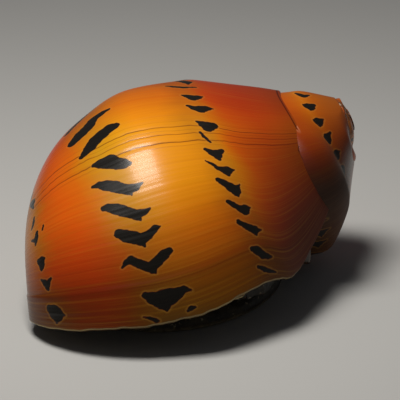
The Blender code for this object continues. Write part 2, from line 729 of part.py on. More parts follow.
def make_mantle_edge():
    """The thin rim of the mantle that lines the lip and shows just below it."""
    outer = np.array((WALL, LIP_THICK)) + MANTLE_CLEAR
    rim = band("rim", REST_LINE - 1.0, MANTLE_PEEP, outer, outer + MANTLE_THICK, MANTLE_SPAN)
    return finish(rim, "mantle_edge", "rim")


def remove_everything():
    """Start from an empty file."""
    for obj in list(bpy.data.objects):
        bpy.data.objects.remove(obj)


def main():
    remove_everything()
    make_body_whorl()
    make_lip()
    make_spire()
    make_deck()
    make_foot()
    make_operculum()
    make_trunk()
    make_head()
    make_snout()
    make_feelers()
    make_mantle_edge()


main()
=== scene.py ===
# %% [markdown]
# # A nerite snail, drawn around its imported solids
# The solids give the sizes and the places. This script dresses them: a shell with its spiral
# colour bands and dark marks, a thin mantle rim, and one moist skin for the soft body.
# The first cell loads the imported model, bakes each solid's placement into its mesh, and can
# read the box of any solid. Nothing drawn here may make the object larger than its solids.

import math

import bmesh
import bpy
import numpy as np
from mathutils import Matrix, Vector, kdtree
from mathutils import noise as field


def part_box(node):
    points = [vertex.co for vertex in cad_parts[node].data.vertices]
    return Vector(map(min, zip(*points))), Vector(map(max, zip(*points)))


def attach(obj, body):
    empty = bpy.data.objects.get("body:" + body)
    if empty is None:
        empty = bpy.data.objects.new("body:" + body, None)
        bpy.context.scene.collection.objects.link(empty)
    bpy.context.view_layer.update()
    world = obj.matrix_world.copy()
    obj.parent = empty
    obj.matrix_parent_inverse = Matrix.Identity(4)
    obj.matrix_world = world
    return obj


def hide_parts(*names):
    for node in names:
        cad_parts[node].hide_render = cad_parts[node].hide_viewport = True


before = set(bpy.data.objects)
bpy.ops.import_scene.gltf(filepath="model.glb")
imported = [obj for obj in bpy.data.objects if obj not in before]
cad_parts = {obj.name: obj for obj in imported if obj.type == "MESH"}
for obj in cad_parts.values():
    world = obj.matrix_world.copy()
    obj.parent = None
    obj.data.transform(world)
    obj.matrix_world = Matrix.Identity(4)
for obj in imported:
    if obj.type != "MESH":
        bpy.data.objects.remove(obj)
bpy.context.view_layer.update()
MM = 0.001

# %% [markdown]
# ## The camera, the lamps and the floor
# The photograph was taken from a little above the snail's right side with a long lens, so
# the camera stands well back and looks down by twenty degrees. One soft lamp hangs almost
# overhead, where the bright patch on the shell says it must be. A pale floor and a dim, even
# sky fill the shadows. The plain view transform keeps the shell's deep orange, which the
# default one would pale.

# %% Camera, lamps, floor
def aim(obj, place, target):
    """Put an object at a place and turn it to face a target, both in millimetres."""
    obj.location = Vector(place) * MM
    way = Vector(target) - Vector(place)
    obj.rotation_euler = way.to_track_quat("-Z", "Y").to_euler()


def area_lamp(name, place, target, size, power, colour=(1.0, 1.0, 1.0)):
    """A soft square lamp. Size is in millimetres and power in watts."""
    lamp = bpy.data.lights.new(name, "AREA")
    lamp.size = size * MM
    lamp.energy = power
    lamp.color = colour
    obj = bpy.data.objects.new(name, lamp)
    bpy.context.scene.collection.objects.link(obj)
    aim(obj, place, target)
    return obj


lens = bpy.data.cameras.new("camera")
lens.lens = 270.0
lens.sensor_width = 36.0
lens.clip_start = 0.001
camera = bpy.data.objects.new("camera", lens)
camera.location = Vector((0.32, -173.4, 68.96)) * MM
camera.rotation_euler = (math.radians(70.0), 0.0, 0.0)
bpy.context.scene.collection.objects.link(camera)
bpy.context.scene.camera = camera

area_lamp("key", (-19.0, -5.0, 92.0), (0.0, 0.0, 6.0), 38.0, 0.078, (1.0, 0.97, 0.92))

sky = bpy.data.worlds.new("sky")
sky.use_nodes = True
sky.node_tree.nodes["Background"].inputs["Color"].default_value = (0.9, 0.93, 1.0, 1.0)
sky.node_tree.nodes["Background"].inputs["Strength"].default_value = 0.05
bpy.context.scene.world = sky
bpy.context.scene.view_settings.view_transform = "Standard"

bpy.ops.mesh.primitive_plane_add(size=0.8)
floor = bpy.context.object
floor.name = "floor"
floor.location.z = -0.01 * MM     # just clear of the flat sole
pale = bpy.data.materials.new("pale_floor")
pale.use_nodes = True
pale.node_tree.nodes["Principled BSDF"].inputs["Base Color"].default_value = (0.52, 0.515, 0.50, 1.0)
pale.node_tree.nodes["Principled BSDF"].inputs["Roughness"].default_value = 0.9
floor.data.materials.append(pale)
print("camera at", tuple(round(v, 4) for v in camera.location))

# %% [markdown]
# ## The coil
# A snail adds shell only at its lip, and each turn is the one before it, made larger about a
# point on the axis. So any place on the shell has two numbers: how far along the lip it was
# laid down, from 0 at the suture to 8 at the base, and how many degrees of growth ago. A
# mesh laid out in those two numbers carries its own pattern: bands follow the first
# and growth lines follow the second. The values are those of the solids.

# %% Coil values
WIDER_PER_TURN = 2.54
LONGER_PER_TURN = 2.41
COIL_CENTRE = np.array((11.55, 7.3, 9.95))
AXIS_HEADING, AXIS_TILT, LIP_TURN = 201.3, 119.2, 139.9
LIP_RADIUS = (5.6, 9.95, 11.1, 12.55, 12.6, 11.9, 9.7, 6.3, 3.8)
LIP_REACH = (7.1, 11.55, 13.35, 16.8, 19.9, 22.8, 25.6, 26.15, 21.6)
LIP_ANGLE = (67.5, 59.0, 50.0, 44.0, 39.5, 33.0, 23.5, 8.5, -10.0)
LIP_END = 8.0
LIP_CORNER, LIP_CORNER_CUT = (0.5, 1.7), 3.6     # where and how far the lip draws back, in degrees
SPELLS = ((-325.0, 42.0, -0.07), (-478.0, 55.0, 0.075))
REST_LINE = -12.0
DECK_LEVEL = 1.66
DECK_FRONT = np.array(((-6.9, -2.2), (7.2, -0.2)))
DECK_DEPTH = 9.4
APEX_WEAR_CENTRE, APEX_WEAR_RADIUS = np.array((6.6, 6.0, 7.8)), 3.5
APEX_REACH = 2.9

TURN = np.array(Matrix.Rotation(math.radians(AXIS_HEADING), 3, "Z")
                @ Matrix.Rotation(math.radians(AXIS_TILT), 3, "Y")
                @ Matrix.Rotation(math.radians(LIP_TURN), 3, "Z"))


def spline(values, place):
    """A natural cubic spline through evenly spaced values."""
    v = np.array(values, float)
    last = len(v) - 1
    system = np.eye(last + 1)
    bend = np.zeros(last + 1)
    for i in range(1, last):
        system[i, i - 1:i + 2] = (1.0, 4.0, 1.0)
        bend[i] = 6.0 * (v[i - 1] - 2.0 * v[i] + v[i + 1])
    curve = np.linalg.solve(system, bend)
    p = np.asarray(place, float)
    i = np.clip(np.floor(p).astype(int), 0, last - 1)
    b = p - i
    a = 1.0 - b
    return (a * v[i] + b * v[i + 1]
            + (a ** 3 - a) * curve[i] / 6.0 + (b ** 3 - b) * curve[i + 1] / 6.0)


def smooth(low, high, value):
    """Zero below low, one above high, and an even curve between."""
    x = np.clip((value - low) / (high - low), 0.0, 1.0)
    return x * x * (3.0 - 2.0 * x)


def from_coil(radius, angle, reach):
    """A point from its distance to the axis, its angle in radians and its place along it."""
    radius, angle, reach = np.broadcast_arrays(radius, angle, reach)
    local = np.stack([radius * np.cos(angle), -radius * np.sin(angle), reach], -1)
    return local @ TURN.T + COIL_CENTRE


def whorl_size(growth):
    """The whorl's radius and its reach at a growth angle, as shares of those at the lip."""
    spell = 1.0 + sum(share * np.exp(-((growth - station) / spread) ** 2)
                      for station, spread, share in SPELLS)
    turns = growth / 360.0
    return WIDER_PER_TURN ** turns * spell, LONGER_PER_TURN ** turns * spell


print("the shell spans", LIP_RADIUS[4] * 2, "mm across at the lip")

# %% [markdown]
# ## The outer surface
# Three things bend the plain coil. Where a whorl meets the one before, its edge rolls over
# in a small bead and dives under, which makes the fine groove called the suture. The
# underside is flat, because the snail smooths it as it grows. The tip is worn round, as the
# tips of old nerites are. Each is a short function on the points, so it can be seen and changed
# alone.

# %% The surface of the shell
TUCK = 0.6                       # how far before zero the rolled edge runs
BEAD_RADIUS = (5.6, 5.38, 5.02, 4.7, 4.5)
BEAD_REACH = (7.1, 6.9, 6.98, 7.4, 8.0)
INNER_END = 9.0                  # past the base, where the surface closes on the axis


def lip_profile(along):
    """Radius, reach and angle of the lip, with the rolled edge before 0 and the close after 8."""
    t = np.clip(along, 0.0, LIP_END)
    radius, reach, angle = (spline(v, t) for v in (LIP_RADIUS, LIP_REACH, LIP_ANGLE))
    roll = np.clip(-along / TUCK, 0.0, 1.0) * (len(BEAD_RADIUS) - 1)
    rolled = along < 0.0
    radius = np.where(rolled, spline(BEAD_RADIUS, roll), radius)
    reach = np.where(rolled, spline(BEAD_REACH, roll), reach)
    close = np.clip((along - LIP_END) / (INNER_END - LIP_END), 0.0, 1.0)
    return radius * (1.0 - 0.95 * close), reach, np.radians(angle)


def ragged_edge(along):
    """How far the lip's edge falls short of its full growth, in degrees, along its length."""
    waves = (0.14 * np.sin(5.1 * along + 0.4) + 0.1 * np.sin(11.7 * along + 1.0)
             + 0.06 * np.sin(23.3 * along))
    return -(0.28 + waves + LIP_CORNER_CUT * (1.0 - smooth(*LIP_CORNER, along)))


def deck_inset(x, y):
    """How far a point on the floor plan lies inside the outline of the deck, in millimetres."""
    left, right = DECK_FRONT
    half = np.linalg.norm(right - left) / 2.0
    along = (right - left) / (2.0 * half)
    back = np.array((-along[1], along[0]))
    place = np.stack([x, y], -1) - (left + right) / 2.0
    a = (place @ along) / half
    b = (place @ back) / DECK_DEPTH
    return np.minimum((1.0 - np.hypot(a, np.maximum(b, 0.0))) * DECK_DEPTH, place @ back + 0.3)


def flatten_underside(points, growth):
    """Press what lies below the deck's level up to it, and deeper where the deck is set in."""
    level = DECK_LEVEL + 0.6 * smooth(-0.1, 0.3, deck_inset(points[..., 0], points[..., 1]))
    soft = 0.12
    lift = soft * np.logaddexp(0.0, (points[..., 2] - level) / soft) + level
    share = 1.0 - smooth(-34.0, REST_LINE, growth)
    points = points.copy()
    points[..., 2] = points[..., 2] * (1.0 - share) + lift * share
    return points


def wear_tip(points):
    """Draw whatever stands out of the worn, rounded tip back onto it."""
    reach = (points - COIL_CENTRE) @ TURN[:, 2]
    out = points - APEX_WEAR_CENTRE
    far = np.linalg.norm(out, axis=-1)
    share = (1.0 - smooth(APEX_REACH - 0.3, APEX_REACH + 0.5, reach)) * (far > APEX_WEAR_RADIUS)
    scale = 1.0 + share * (APEX_WEAR_RADIUS / np.maximum(far, 1e-6) - 1.0)
    return APEX_WEAR_CENTRE + out * scale[..., None]


def coil_surface(along, growth):
    """The shell's plain outer surface, in millimetres."""
    radius, reach, angle = lip_profile(along)
    wide, deep = whorl_size(growth)
    points = from_coil(wide * radius, np.radians(growth) + angle, deep * reach)
    return wear_tip(flatten_underside(points, growth))


def grid_normals(points):
    """Outward unit normals of a grid of points."""
    normal = np.cross(np.gradient(points, axis=0), np.gradient(points, axis=1))
    return normal / np.maximum(np.linalg.norm(normal, axis=-1, keepdims=True), 1e-9)


print("the rolled edge is", round(BEAD_RADIUS[0] - BEAD_RADIUS[-1], 2), "mm deep at the lip")

# %% [markdown]
# ## Growth lines
# A shell records every pause in growth. About sixty degrees behind the lip there is a set of
# close dark lines where the snail once stopped, and near the lip a new season begins with a low
# step; the darker colour there is partly the shell's own and partly painted shade. The lines bow
# where they cross the rows of marks. Each vertex stores the growth at which its line was laid, so
# that the finish can draw the lines finely. Only the deeper ones are cut into the mesh.

# %% Growth lines
PAUSE = -56.0
PAUSE_BOW = (1.0, -2.6, 0.2, -0.7, -0.9, 0.3, 1.4, 1.5, 1.5)
PAUSE_LINES = (-3.8, 0.0, 3.6)


def season(along, growth):
    """The growth at which the line through a point was laid, with the bow of the old pause."""
    near = np.exp(-((growth - PAUSE) / 9.0) ** 2)
    return growth - near * spline(PAUSE_BOW, np.clip(along, 0.0, LIP_END))


def relief(along, growth):
    """Height of the growth lines over the plain surface, in millimetres."""
    laid = season(along, growth)
    size = WIDER_PER_TURN ** (growth / 360.0)
    height = 0.005 * np.sin(laid * 1.9) * np.sin(laid * 0.43 + 0.6 * along)
    height += 0.003 * np.sin(laid * 4.3 + 0.8 * np.sin(2.2 * along))
    for line in PAUSE_LINES:
        height -= 0.02 * np.exp(-((laid - PAUSE - line) / 0.35) ** 2)
    height += 0.05 * (smooth(REST_LINE - 0.8, REST_LINE + 0.6, growth) - 1.0)
    worn = smooth(-860.0, -600.0, growth)
    crowded = smooth(-0.1, 3.0, along)      # lines crowd together near the axis, and lie lower
    return height * size * worn * crowded * (1.0 - smooth(7.6, 8.0, along))


print("the deepest lines are cut 0.02 mm deep")

# %% [markdown]
# ## The seam between the whorls
# Each whorl is laid against the one before. The newer lip grips a little lower on it as
# the snail grows up, and fills the angle between the two with shell. So the earlier whorl is
# thickened here where it meets the last one, and the seam moves onto the last whorl's face.
# Its distance is kept for every vertex, for the thin dark line, partly painted shade, and the painted highlight
# beside it.

# %% The filled seam
SEAM_FROM, SEAM_TO, SEAM_SHIFT = -58.0, -45.0, 0.14
FILL_THIN, FILL_THICK = 0.30, 0.86
# Place along the lip and reach, growth and spread, and height of each swell.
SWELLS = ((0.0, 0.6, -128.0, 17.0, 0.20), (3.3, 1.4, -288.0, 32.0, 0.36),
          (-0.3, 1.5, -338.0, 34.0, -0.40), (1.0, 1.0, -474.0, 24.0, 0.16), (2.6, 1.5, -700.0, 50.0, -0.3))


def seam_place(growth):
    """How far along the lip the seam lies on the last whorl."""
    return SEAM_SHIFT * smooth(SEAM_FROM, SEAM_TO, growth)


def filled_seam(along, growth):
    """Thickness laid on the earlier whorls where the next one meets them, in millimetres."""
    wide, _ = whorl_size(np.minimum(growth + 360.0, 0.0))
    thick = FILL_THIN * wide + FILL_THICK * smooth(-410.0, -364.0, growth)
    across = smooth(1.2, 3.1, along) * (1.0 - smooth(4.2, 5.6, along))
    return thick * across * (1.0 - smooth(-360.0, -296.0, growth))


def swells(along, growth):
    """Low swells and hollows of the whorl, in millimetres."""
    height = 0.0
    for place, reach, station, spread, size in SWELLS:
        height = height + size * np.exp(-((along - place) / reach) ** 2 - ((growth - station) / spread) ** 2)
    return height


def seam_line(surface, places, stations):
    """Close points along the seam, read from the finished surface."""
    last = np.flatnonzero(stations > -362.0)
    row = np.interp(seam_place(stations[last]), places, np.arange(places.size))
    low = np.floor(row).astype(int)
    share = (row - low)[:, None]
    line = surface[low, last] * (1.0 - share) + surface[low + 1, last] * share
    fine = np.linspace(0.0, len(line) - 1.0, 5 * len(line))
    return np.stack([np.interp(fine, np.arange(len(line)), axis) for axis in line.T], -1)


def distance_to_seam(along, growth, place, line):
    """Distance in millimetres to the seam between the last whorl and the one before."""
    tree = kdtree.KDTree(len(line))
    for i, point in enumerate(line):
        tree.insert(point, i)
    tree.balance()
    distance = np.full(along.shape, 1.0)
    near = ((growth > -362.0) & (along < 0.6)) | ((growth < -325.0) & (along > 1.8) & (along < 4.2))
    distance[near] = [min(tree.find(point)[2], 1.0) for point in place[near]]
    return distance


print("the seam is filled up to", FILL_THIN + FILL_THICK, "mm thick")

# %% [markdown]
# ## The marks
# Three rows of glossy dark marks run round the shell, and the first of them carries on up
# the spire. Those near the suture are small arrowheads, the middle row has long slanted
# bars that turn into chevrons towards the lip, and the lowest row has small darts. A mark
# is one or more strokes, each a short line of places with a half width. For every vertex the
# script keeps the distance to the nearest mark. That gives clean edges, which vertex colours
# would not.

# %% The rows of marks
# Each stroke is a line of places along the lip, growth, and half width in millimetres.
FIRST_ROW = (
    ((2.21, -93.2, 0.08), (2.04, -91.0, 0.15), (1.76, -89.8, 0.16), (1.32, -92.5, 0.09)),
    ((1.97, -81.0, 0.06), (1.83, -80.2, 0.20), (1.63, -79.5, 0.34), (1.45, -81.0, 0.25),
     (1.27, -83.0, 0.06)),
    ((1.97, -72.2, 0.11), (1.83, -70.8, 0.21), (1.60, -71.0, 0.37), (1.36, -73.0, 0.25),
     (1.17, -74.0, 0.04)),
    ((1.97, -62.2, 0.07), (1.84, -60.8, 0.26), (1.70, -60.0, 0.42), (1.48, -61.6, 0.28)),
    ((2.03, -56.2, 0.08), (2.00, -54.0, 0.10), (1.91, -51.5, 0.07)),
    ((2.12, -48.0, 0.12), (2.02, -46.5, 0.21), (1.91, -45.8, 0.33), (1.91, -43.8, 0.11)),
    ((1.90, -46.5, 0.26), (1.70, -48.0, 0.15)),
    ((2.24, -43.2, 0.05), (2.15, -41.8, 0.09), (2.07, -40.0, 0.13), (1.87, -39.0, 0.30),
     (1.89, -37.2, 0.07)),
    ((1.86, -39.2, 0.24), (1.62, -40.2, 0.04)),
    ((2.19, -35.5, 0.16), (2.09, -34.0, 0.22), (2.00, -32.5, 0.30), (1.91, -31.2, 0.32),
     (1.92, -29.2, 0.06)),
    ((1.91, -32.0, 0.22), (1.71, -34.0, 0.06)),
    ((2.21, -27.5, 0.14), (2.13, -26.2, 0.17), (2.04, -24.8, 0.20), (1.93, -24.2, 0.33),
     (1.94, -22.8, 0.06)),
    ((1.91, -25.0, 0.22), (1.72, -25.5, 0.04)),
    ((2.20, -20.5, 0.15), (2.11, -19.0, 0.18), (2.01, -17.8, 0.22), (1.92, -17.0, 0.27),
     (1.93, -15.5, 0.06)),
    ((1.92, -17.2, 0.18), (1.70, -17.5, 0.04)),
    ((2.18, -11.2, 0.18), (2.10, -10.5, 0.27), (2.02, -8.8, 0.26), (1.90, -8.0, 0.16),
     (1.78, -7.8, 0.06)),
    ((2.22, -5.5, 0.11), (2.12, -4.2, 0.15), (2.01, -3.2, 0.13), (1.86, -2.5, 0.05)))
MIDDLE_ROW = (
    ((3.85, -96.0, 0.20), (4.30, -90.0, 0.42), (4.65, -84.0, 0.36)),
    ((3.47, -80.0, 0.16), (3.66, -79.8, 0.34), (3.91, -79.0, 0.46), (4.10, -75.2, 0.58),
     (4.32, -73.0, 0.60), (4.54, -70.4, 0.44)),
    ((3.47, -67.0, 0.30), (3.63, -67.0, 0.46), (3.82, -66.0, 0.52), (4.03, -64.5, 0.52),
     (4.20, -62.2, 0.46), (4.46, -59.2, 0.20)),
    ((4.27, -53.2, 0.16), (4.12, -52.8, 0.36), (3.92, -52.2, 0.53), (3.77, -50.2, 0.42),
     (3.64, -49.2, 0.35), (3.54, -48.5, 0.17)),
    ((4.47, -44.8, 0.11), (4.33, -44.8, 0.24), (4.19, -43.8, 0.36), (4.04, -42.5, 0.38),
     (3.80, -39.8, 0.33), (3.77, -38.0, 0.07)),
    ((3.79, -40.0, 0.34), (3.64, -39.8, 0.25), (3.46, -40.5, 0.05)),
    ((4.44, -36.2, 0.17), (4.34, -36.2, 0.25), (4.21, -35.0, 0.35), (4.08, -33.8, 0.35),
     (3.85, -31.2, 0.30), (3.82, -29.5, 0.06)),
    ((3.84, -31.5, 0.31), (3.69, -31.5, 0.21), (3.54, -32.0, 0.06)),
    ((4.35, -27.2, 0.28), (4.23, -26.0, 0.37), (4.09, -25.0, 0.40), (3.98, -23.8, 0.34),
     (3.96, -21.8, 0.06)),
    ((3.98, -24.0, 0.36), (3.78, -24.8, 0.26), (3.62, -26.0, 0.20), (3.51, -26.0, 0.05)),
    ((4.54, -17.2, 0.07), (4.42, -18.5, 0.18), (4.33, -18.8, 0.26), (4.10, -16.2, 0.28),
     (4.00, -15.2, 0.28), (3.97, -14.0, 0.07)),
    ((4.01, -15.8, 0.31), (3.83, -17.0, 0.31), (3.67, -18.2, 0.30), (3.55, -18.8, 0.22)),
    ((4.33, -8.5, 0.21), (4.23, -7.5, 0.36), (4.08, -6.5, 0.54), (4.03, -5.2, 0.36),
     (4.05, -3.5, 0.09)),
    ((4.04, -6.8, 0.52), (3.90, -6.8, 0.50), (3.72, -7.2, 0.34), (3.59, -7.8, 0.20),
     (3.46, -7.0, 0.06)),
    ((3.68, -2.0, 0.09), (3.60, -2.5, 0.15), (3.53, -2.5, 0.09)),
    ((4.52, -2.8, 0.03), (4.41, -2.2, 0.09), (4.31, -1.2, 0.13), (4.26, -1.0, 0.06)))
LOWEST_ROW = (
    ((5.93, -46.0, 0.12), (5.97, -43.8, 0.17), (6.05, -41.8, 0.12)),
    ((5.73, -38.8, 0.10), (5.77, -37.5, 0.07)),
    ((5.93, -37.8, 0.17), (5.97, -35.8, 0.25), (6.02, -33.5, 0.13)),
    ((5.99, -34.8, 0.11), (6.12, -36.2, 0.08)),
    ((6.05, -25.8, 0.16), (5.98, -25.2, 0.33), (5.99, -23.5, 0.27), (6.02, -22.0, 0.10)),
    ((5.96, -26.0, 0.18), (5.89, -26.0, 0.08)),
    ((6.09, -18.2, 0.06), (6.02, -16.8, 0.18), (5.98, -15.8, 0.26), (5.98, -14.2, 0.10)),
    ((5.97, -16.2, 0.23), (5.87, -18.0, 0.09)),
    ((6.06, -7.5, 0.21), (5.98, -6.2, 0.42), (5.93, -5.0, 0.44), (5.98, -2.5, 0.09)),
    ((5.90, -5.5, 0.24), (5.79, -4.8, 0.04)))
SPIRE_ROW = (
    ((1.56, -458.2, 0.09), (1.26, -455.2, 0.19), (1.11, -453.2, 0.22), (0.79, -458.8, 0.07)),
    ((1.68, -431.5, 0.07), (1.39, -431.0, 0.26), (1.19, -431.0, 0.34), (1.37, -425.0, 0.06)),
    ((1.16, -433.0, 0.28), (0.86, -436.5, 0.13)),
    ((1.74, -409.0, 0.07), (1.38, -409.8, 0.28), (1.26, -409.2, 0.28), (1.46, -404.0, 0.09)),
    ((1.25, -411.5, 0.22), (0.88, -414.2, 0.07)),
    ((1.70, -391.5, 0.07), (1.35, -391.5, 0.33), (1.37, -388.2, 0.21)),
    ((1.27, -393.5, 0.21), (0.92, -398.0, 0.08)),
    ((1.47, -375.0, 0.18), (1.28, -374.2, 0.34), (1.55, -369.2, 0.10)),
    ((1.18, -376.0, 0.16), (0.90, -376.5, 0.06)),
    ((1.50, -361.2, 0.10), (1.30, -357.2, 0.38), (1.40, -352.2, 0.14)))


def older_marks(seed, place, half, first, last, gap, fat):
    """Darts for the sides that the photograph hides, like those that it shows."""
    dice = np.random.default_rng(seed)
    strokes = []
    growth = first
    while growth > last:
        size = WIDER_PER_TURN ** (growth / 360.0)
        t = place + dice.uniform(-0.05, 0.05)
        w = fat * size * dice.uniform(0.85, 1.1)
        lean = dice.uniform(1.0, 4.5)
        strokes.append(((t + half, growth - lean, 0.4 * w), (t + 0.4 * half, growth - 0.5 * lean, 0.8 * w),
                        (t - 0.3 * half, growth + 0.4 * lean, w),
                        (t - 0.3 * half, growth + lean + 0.15 * gap, 0.2 * w)))
        strokes.append(((t - 0.3 * half, growth, 0.85 * w),
                        (t - half, growth - dice.uniform(0.0, 0.6) * lean, 0.25 * w)))
        growth -= gap * dice.uniform(0.85, 1.15)
    return tuple(strokes)


STROKES = (FIRST_ROW + MIDDLE_ROW + LOWEST_ROW + SPIRE_ROW
           + older_marks(3, 1.65, 0.30, -101.0, -230.0, 11.0, 0.42)
           + older_marks(4, 1.55, 0.34, -240.0, -338.0, 17.5, 0.60)
           + older_marks(5, 1.45, 0.40, -482.0, -700.0, 23.0, 0.85)
           + older_marks(7, 4.0, 0.50, -107.0, -352.0, 12.0, 0.55)
           + older_marks(11, 5.98, 0.12, -56.0, -350.0, 9.5, 0.34))
MERGE = 0.05                     # strokes nearer than this flow together, in millimetres


def piece_distance(place, ends, half):
    """Distance from points to the edge of one tapered piece of a stroke."""
    way = ends[1] - ends[0]
    share = np.clip((place - ends[0]) @ way / (way @ way), 0.0, 1.0)
    gap = np.linalg.norm(place - ends[0] - share[:, None] * way, axis=-1)
    return gap - half[0] - share * (half[1] - half[0])


def distance_to_marks(along, growth, place):
    """Distance in millimetres to the nearest mark's edge, below zero inside a mark."""
    nearest = np.full(along.shape, 1.0)
    for stroke in STROKES:
        t, g, half = np.array(stroke).T
        knots = coil_surface(t, g)
        near = ((growth > g.min() - 14.0) & (growth < g.max() + 14.0)
                & (along > t.min() - 0.4) & (along < t.max() + 0.4))
        here = place[near]
        for i in range(len(stroke) - 1):
            found = piece_distance(here, knots[i:i + 2], half[i:i + 2])
            other = nearest[near]
            blend = np.maximum(MERGE - np.abs(found - other), 0.0) ** 2 / (4.0 * MERGE)
            nearest[near] = np.minimum(found, other) - blend
    wobble = 0.016 * np.sin(growth * 3.1 + 7.0 * along) + 0.012 * np.sin(growth * 6.7 - 19.0 * along)
    return nearest + wobble


print(len(STROKES), "strokes in four rows")

# %% [markdown]
# ## Building the shell's mesh
# The outer sheet is a grid in the two coil numbers, finer towards the lip where the photograph
# looks closest. The same rows then go round the edge of the lip and back along the inside
# of the mouth, so the wall has a real thickness. Faces that lie buried under a later
# whorl are left out.

# %% The shell's mesh
def new_mesh(name, points, faces, values=None):
    """A smooth mesh object from millimetres, with one stored number per vertex and name."""
    mesh = bpy.data.meshes.new(name)
    mesh.from_pydata((np.asarray(points) * MM).tolist(), [], np.asarray(faces).tolist())
    for key, numbers in (values or {}).items():
        layer = mesh.attributes.new(key, "FLOAT", "POINT")
        layer.data.foreach_set("value", np.ascontiguousarray(numbers, np.float32))
    mesh.shade_smooth()
    obj = bpy.data.objects.new(name, mesh)
    bpy.context.scene.collection.objects.link(obj)
    return obj


def grid_faces(rows, columns, first=0):
    """Quads of a grid whose points are stored row by row."""
    r, c = np.meshgrid(np.arange(rows - 1), np.arange(columns - 1), indexing="ij")
    a = first + r * columns + c
    return np.stack([a, a + columns, a + columns + 1, a + 1], -1).reshape(-1, 4)


places = np.concatenate([np.linspace(-TUCK, 0.0, 13)[:-1], np.linspace(0.0, LIP_END, 361),
                         np.linspace(LIP_END, INNER_END, 7)[1:]])
TIP = -3600.0                    # ten turns back, all that is left of the coil is a point
stations = np.concatenate([[TIP], np.arange(-1440.0, -960.0, 6.0), np.arange(-960.0, -360.0, 2.5),
                           np.arange(-360.0, -104.0, 1.0), np.linspace(-104.0, 0.0, 232)])
ALONG, GROWTH = np.meshgrid(places, stations, indexing="ij")
GROWTH_CUT = GROWTH + ragged_edge(ALONG) * smooth(-9.0, 0.0, GROWTH)
plain = coil_surface(ALONG, GROWTH_CUT)
raised = relief(ALONG, GROWTH_CUT) + filled_seam(ALONG, GROWTH_CUT)
normals = grid_normals(plain)
whole_edge = normals.copy()                      # the rolled edge moves as one with what it ends
rolled_rows = np.flatnonzero(places < 0.1)
whole_edge[rolled_rows] = normals[rolled_rows[-1]]
outer = plain + normals * raised[..., None] + whole_edge * swells(ALONG, GROWTH_CUT)[..., None]
print("outer sheet of", ALONG.size, "points")

# %% The lip's edge and the inside of the mouth
INNER_STEPS = ((0.25, 0.04), (0.4, 0.14), (0.45, 0.26), (0.35, 0.38), (0.1, 0.47),
               (-1.0, 0.52), (-4.0, 0.62), (-8.0, 0.78), (-12.0, 0.9))
WALL = 0.95
INNER_END_GROWTH = -104.0


def inside_of(along, growth, depth, tuck):
    """A point on the inside of the wall, at a depth below the outer surface."""
    inward = along + tuck * (1.0 - along / 4.0)
    step = 0.03
    across = coil_surface(inward + step, growth) - coil_surface(inward - step, growth)
    onward = coil_surface(inward, growth + 0.5) - coil_surface(inward, growth - 0.5)
    normal = np.cross(across, onward)
    normal /= np.linalg.norm(normal, axis=-1, keepdims=True)
    return coil_surface(inward, growth) - normal * depth[..., None]


edge_rows = (places >= 0.0) & (places <= LIP_END)
edge_places = places[edge_rows]
later = [(g, WALL) for g in np.arange(-16.0, INNER_END_GROWTH, -4.0)]
columns = []
for growth, depth in INNER_STEPS + tuple(later):
    here = np.full_like(edge_places, growth) + ragged_edge(edge_places) * smooth(-9.0, 0.0, growth)
    tuck = 0.45 * smooth(0.0, -8.0, growth) if growth < 0.0 else 0.0
    columns.append(inside_of(edge_places, here, np.full_like(edge_places, depth), tuck))
inner = np.stack(columns, 1)
print("inside of the mouth:", inner.shape[0] * inner.shape[1], "points")

# %% [markdown]
# The two sheets are joined along the lip's edge with a strip. The stored numbers go on the
# vertices: the place along the lip, the growth of the line, the distance to the marks, and how
# far a point lies on the pale inside.

# %% Join the sheets
last_column = stations.size - 1
outer_id = np.arange(ALONG.size).reshape(ALONG.shape)
inner_id = outer.reshape(-1, 3).shape[0] + np.arange(inner.shape[0] * inner.shape[1])
inner_id = inner_id.reshape(inner.shape[:2])
faces = grid_faces(*ALONG.shape).reshape(ALONG.shape[0] - 1, ALONG.shape[1] - 1, 4)
middle_t = (ALONG[1:, 1:] + ALONG[:-1, :-1]) / 2.0
middle_g = (GROWTH[1:, 1:] + GROWTH[:-1, :-1]) / 2.0
buried = (middle_g < -385.0) & (middle_t > 4.7)
open_roll = (middle_g > -10.0) & (middle_t < 0.0)
in_mouth = (middle_g > -60.0) & (middle_t > LIP_END)
faces = faces[~(buried | in_mouth | open_roll)]


def strip(first, second):
    """Quads between two equal rows of vertex numbers."""
    return np.stack([first[:-1], first[1:], second[1:], second[:-1]], -1)


rows = np.flatnonzero(edge_rows)
lip_strip = strip(outer_id[rows, last_column], inner_id[:, 0])
inner_faces = grid_faces(*inner.shape[:2], first=outer.reshape(-1, 3).shape[0])
all_faces = np.vstack([faces, lip_strip, inner_faces])
points = np.vstack([outer.reshape(-1, 3), inner.reshape(-1, 3)])

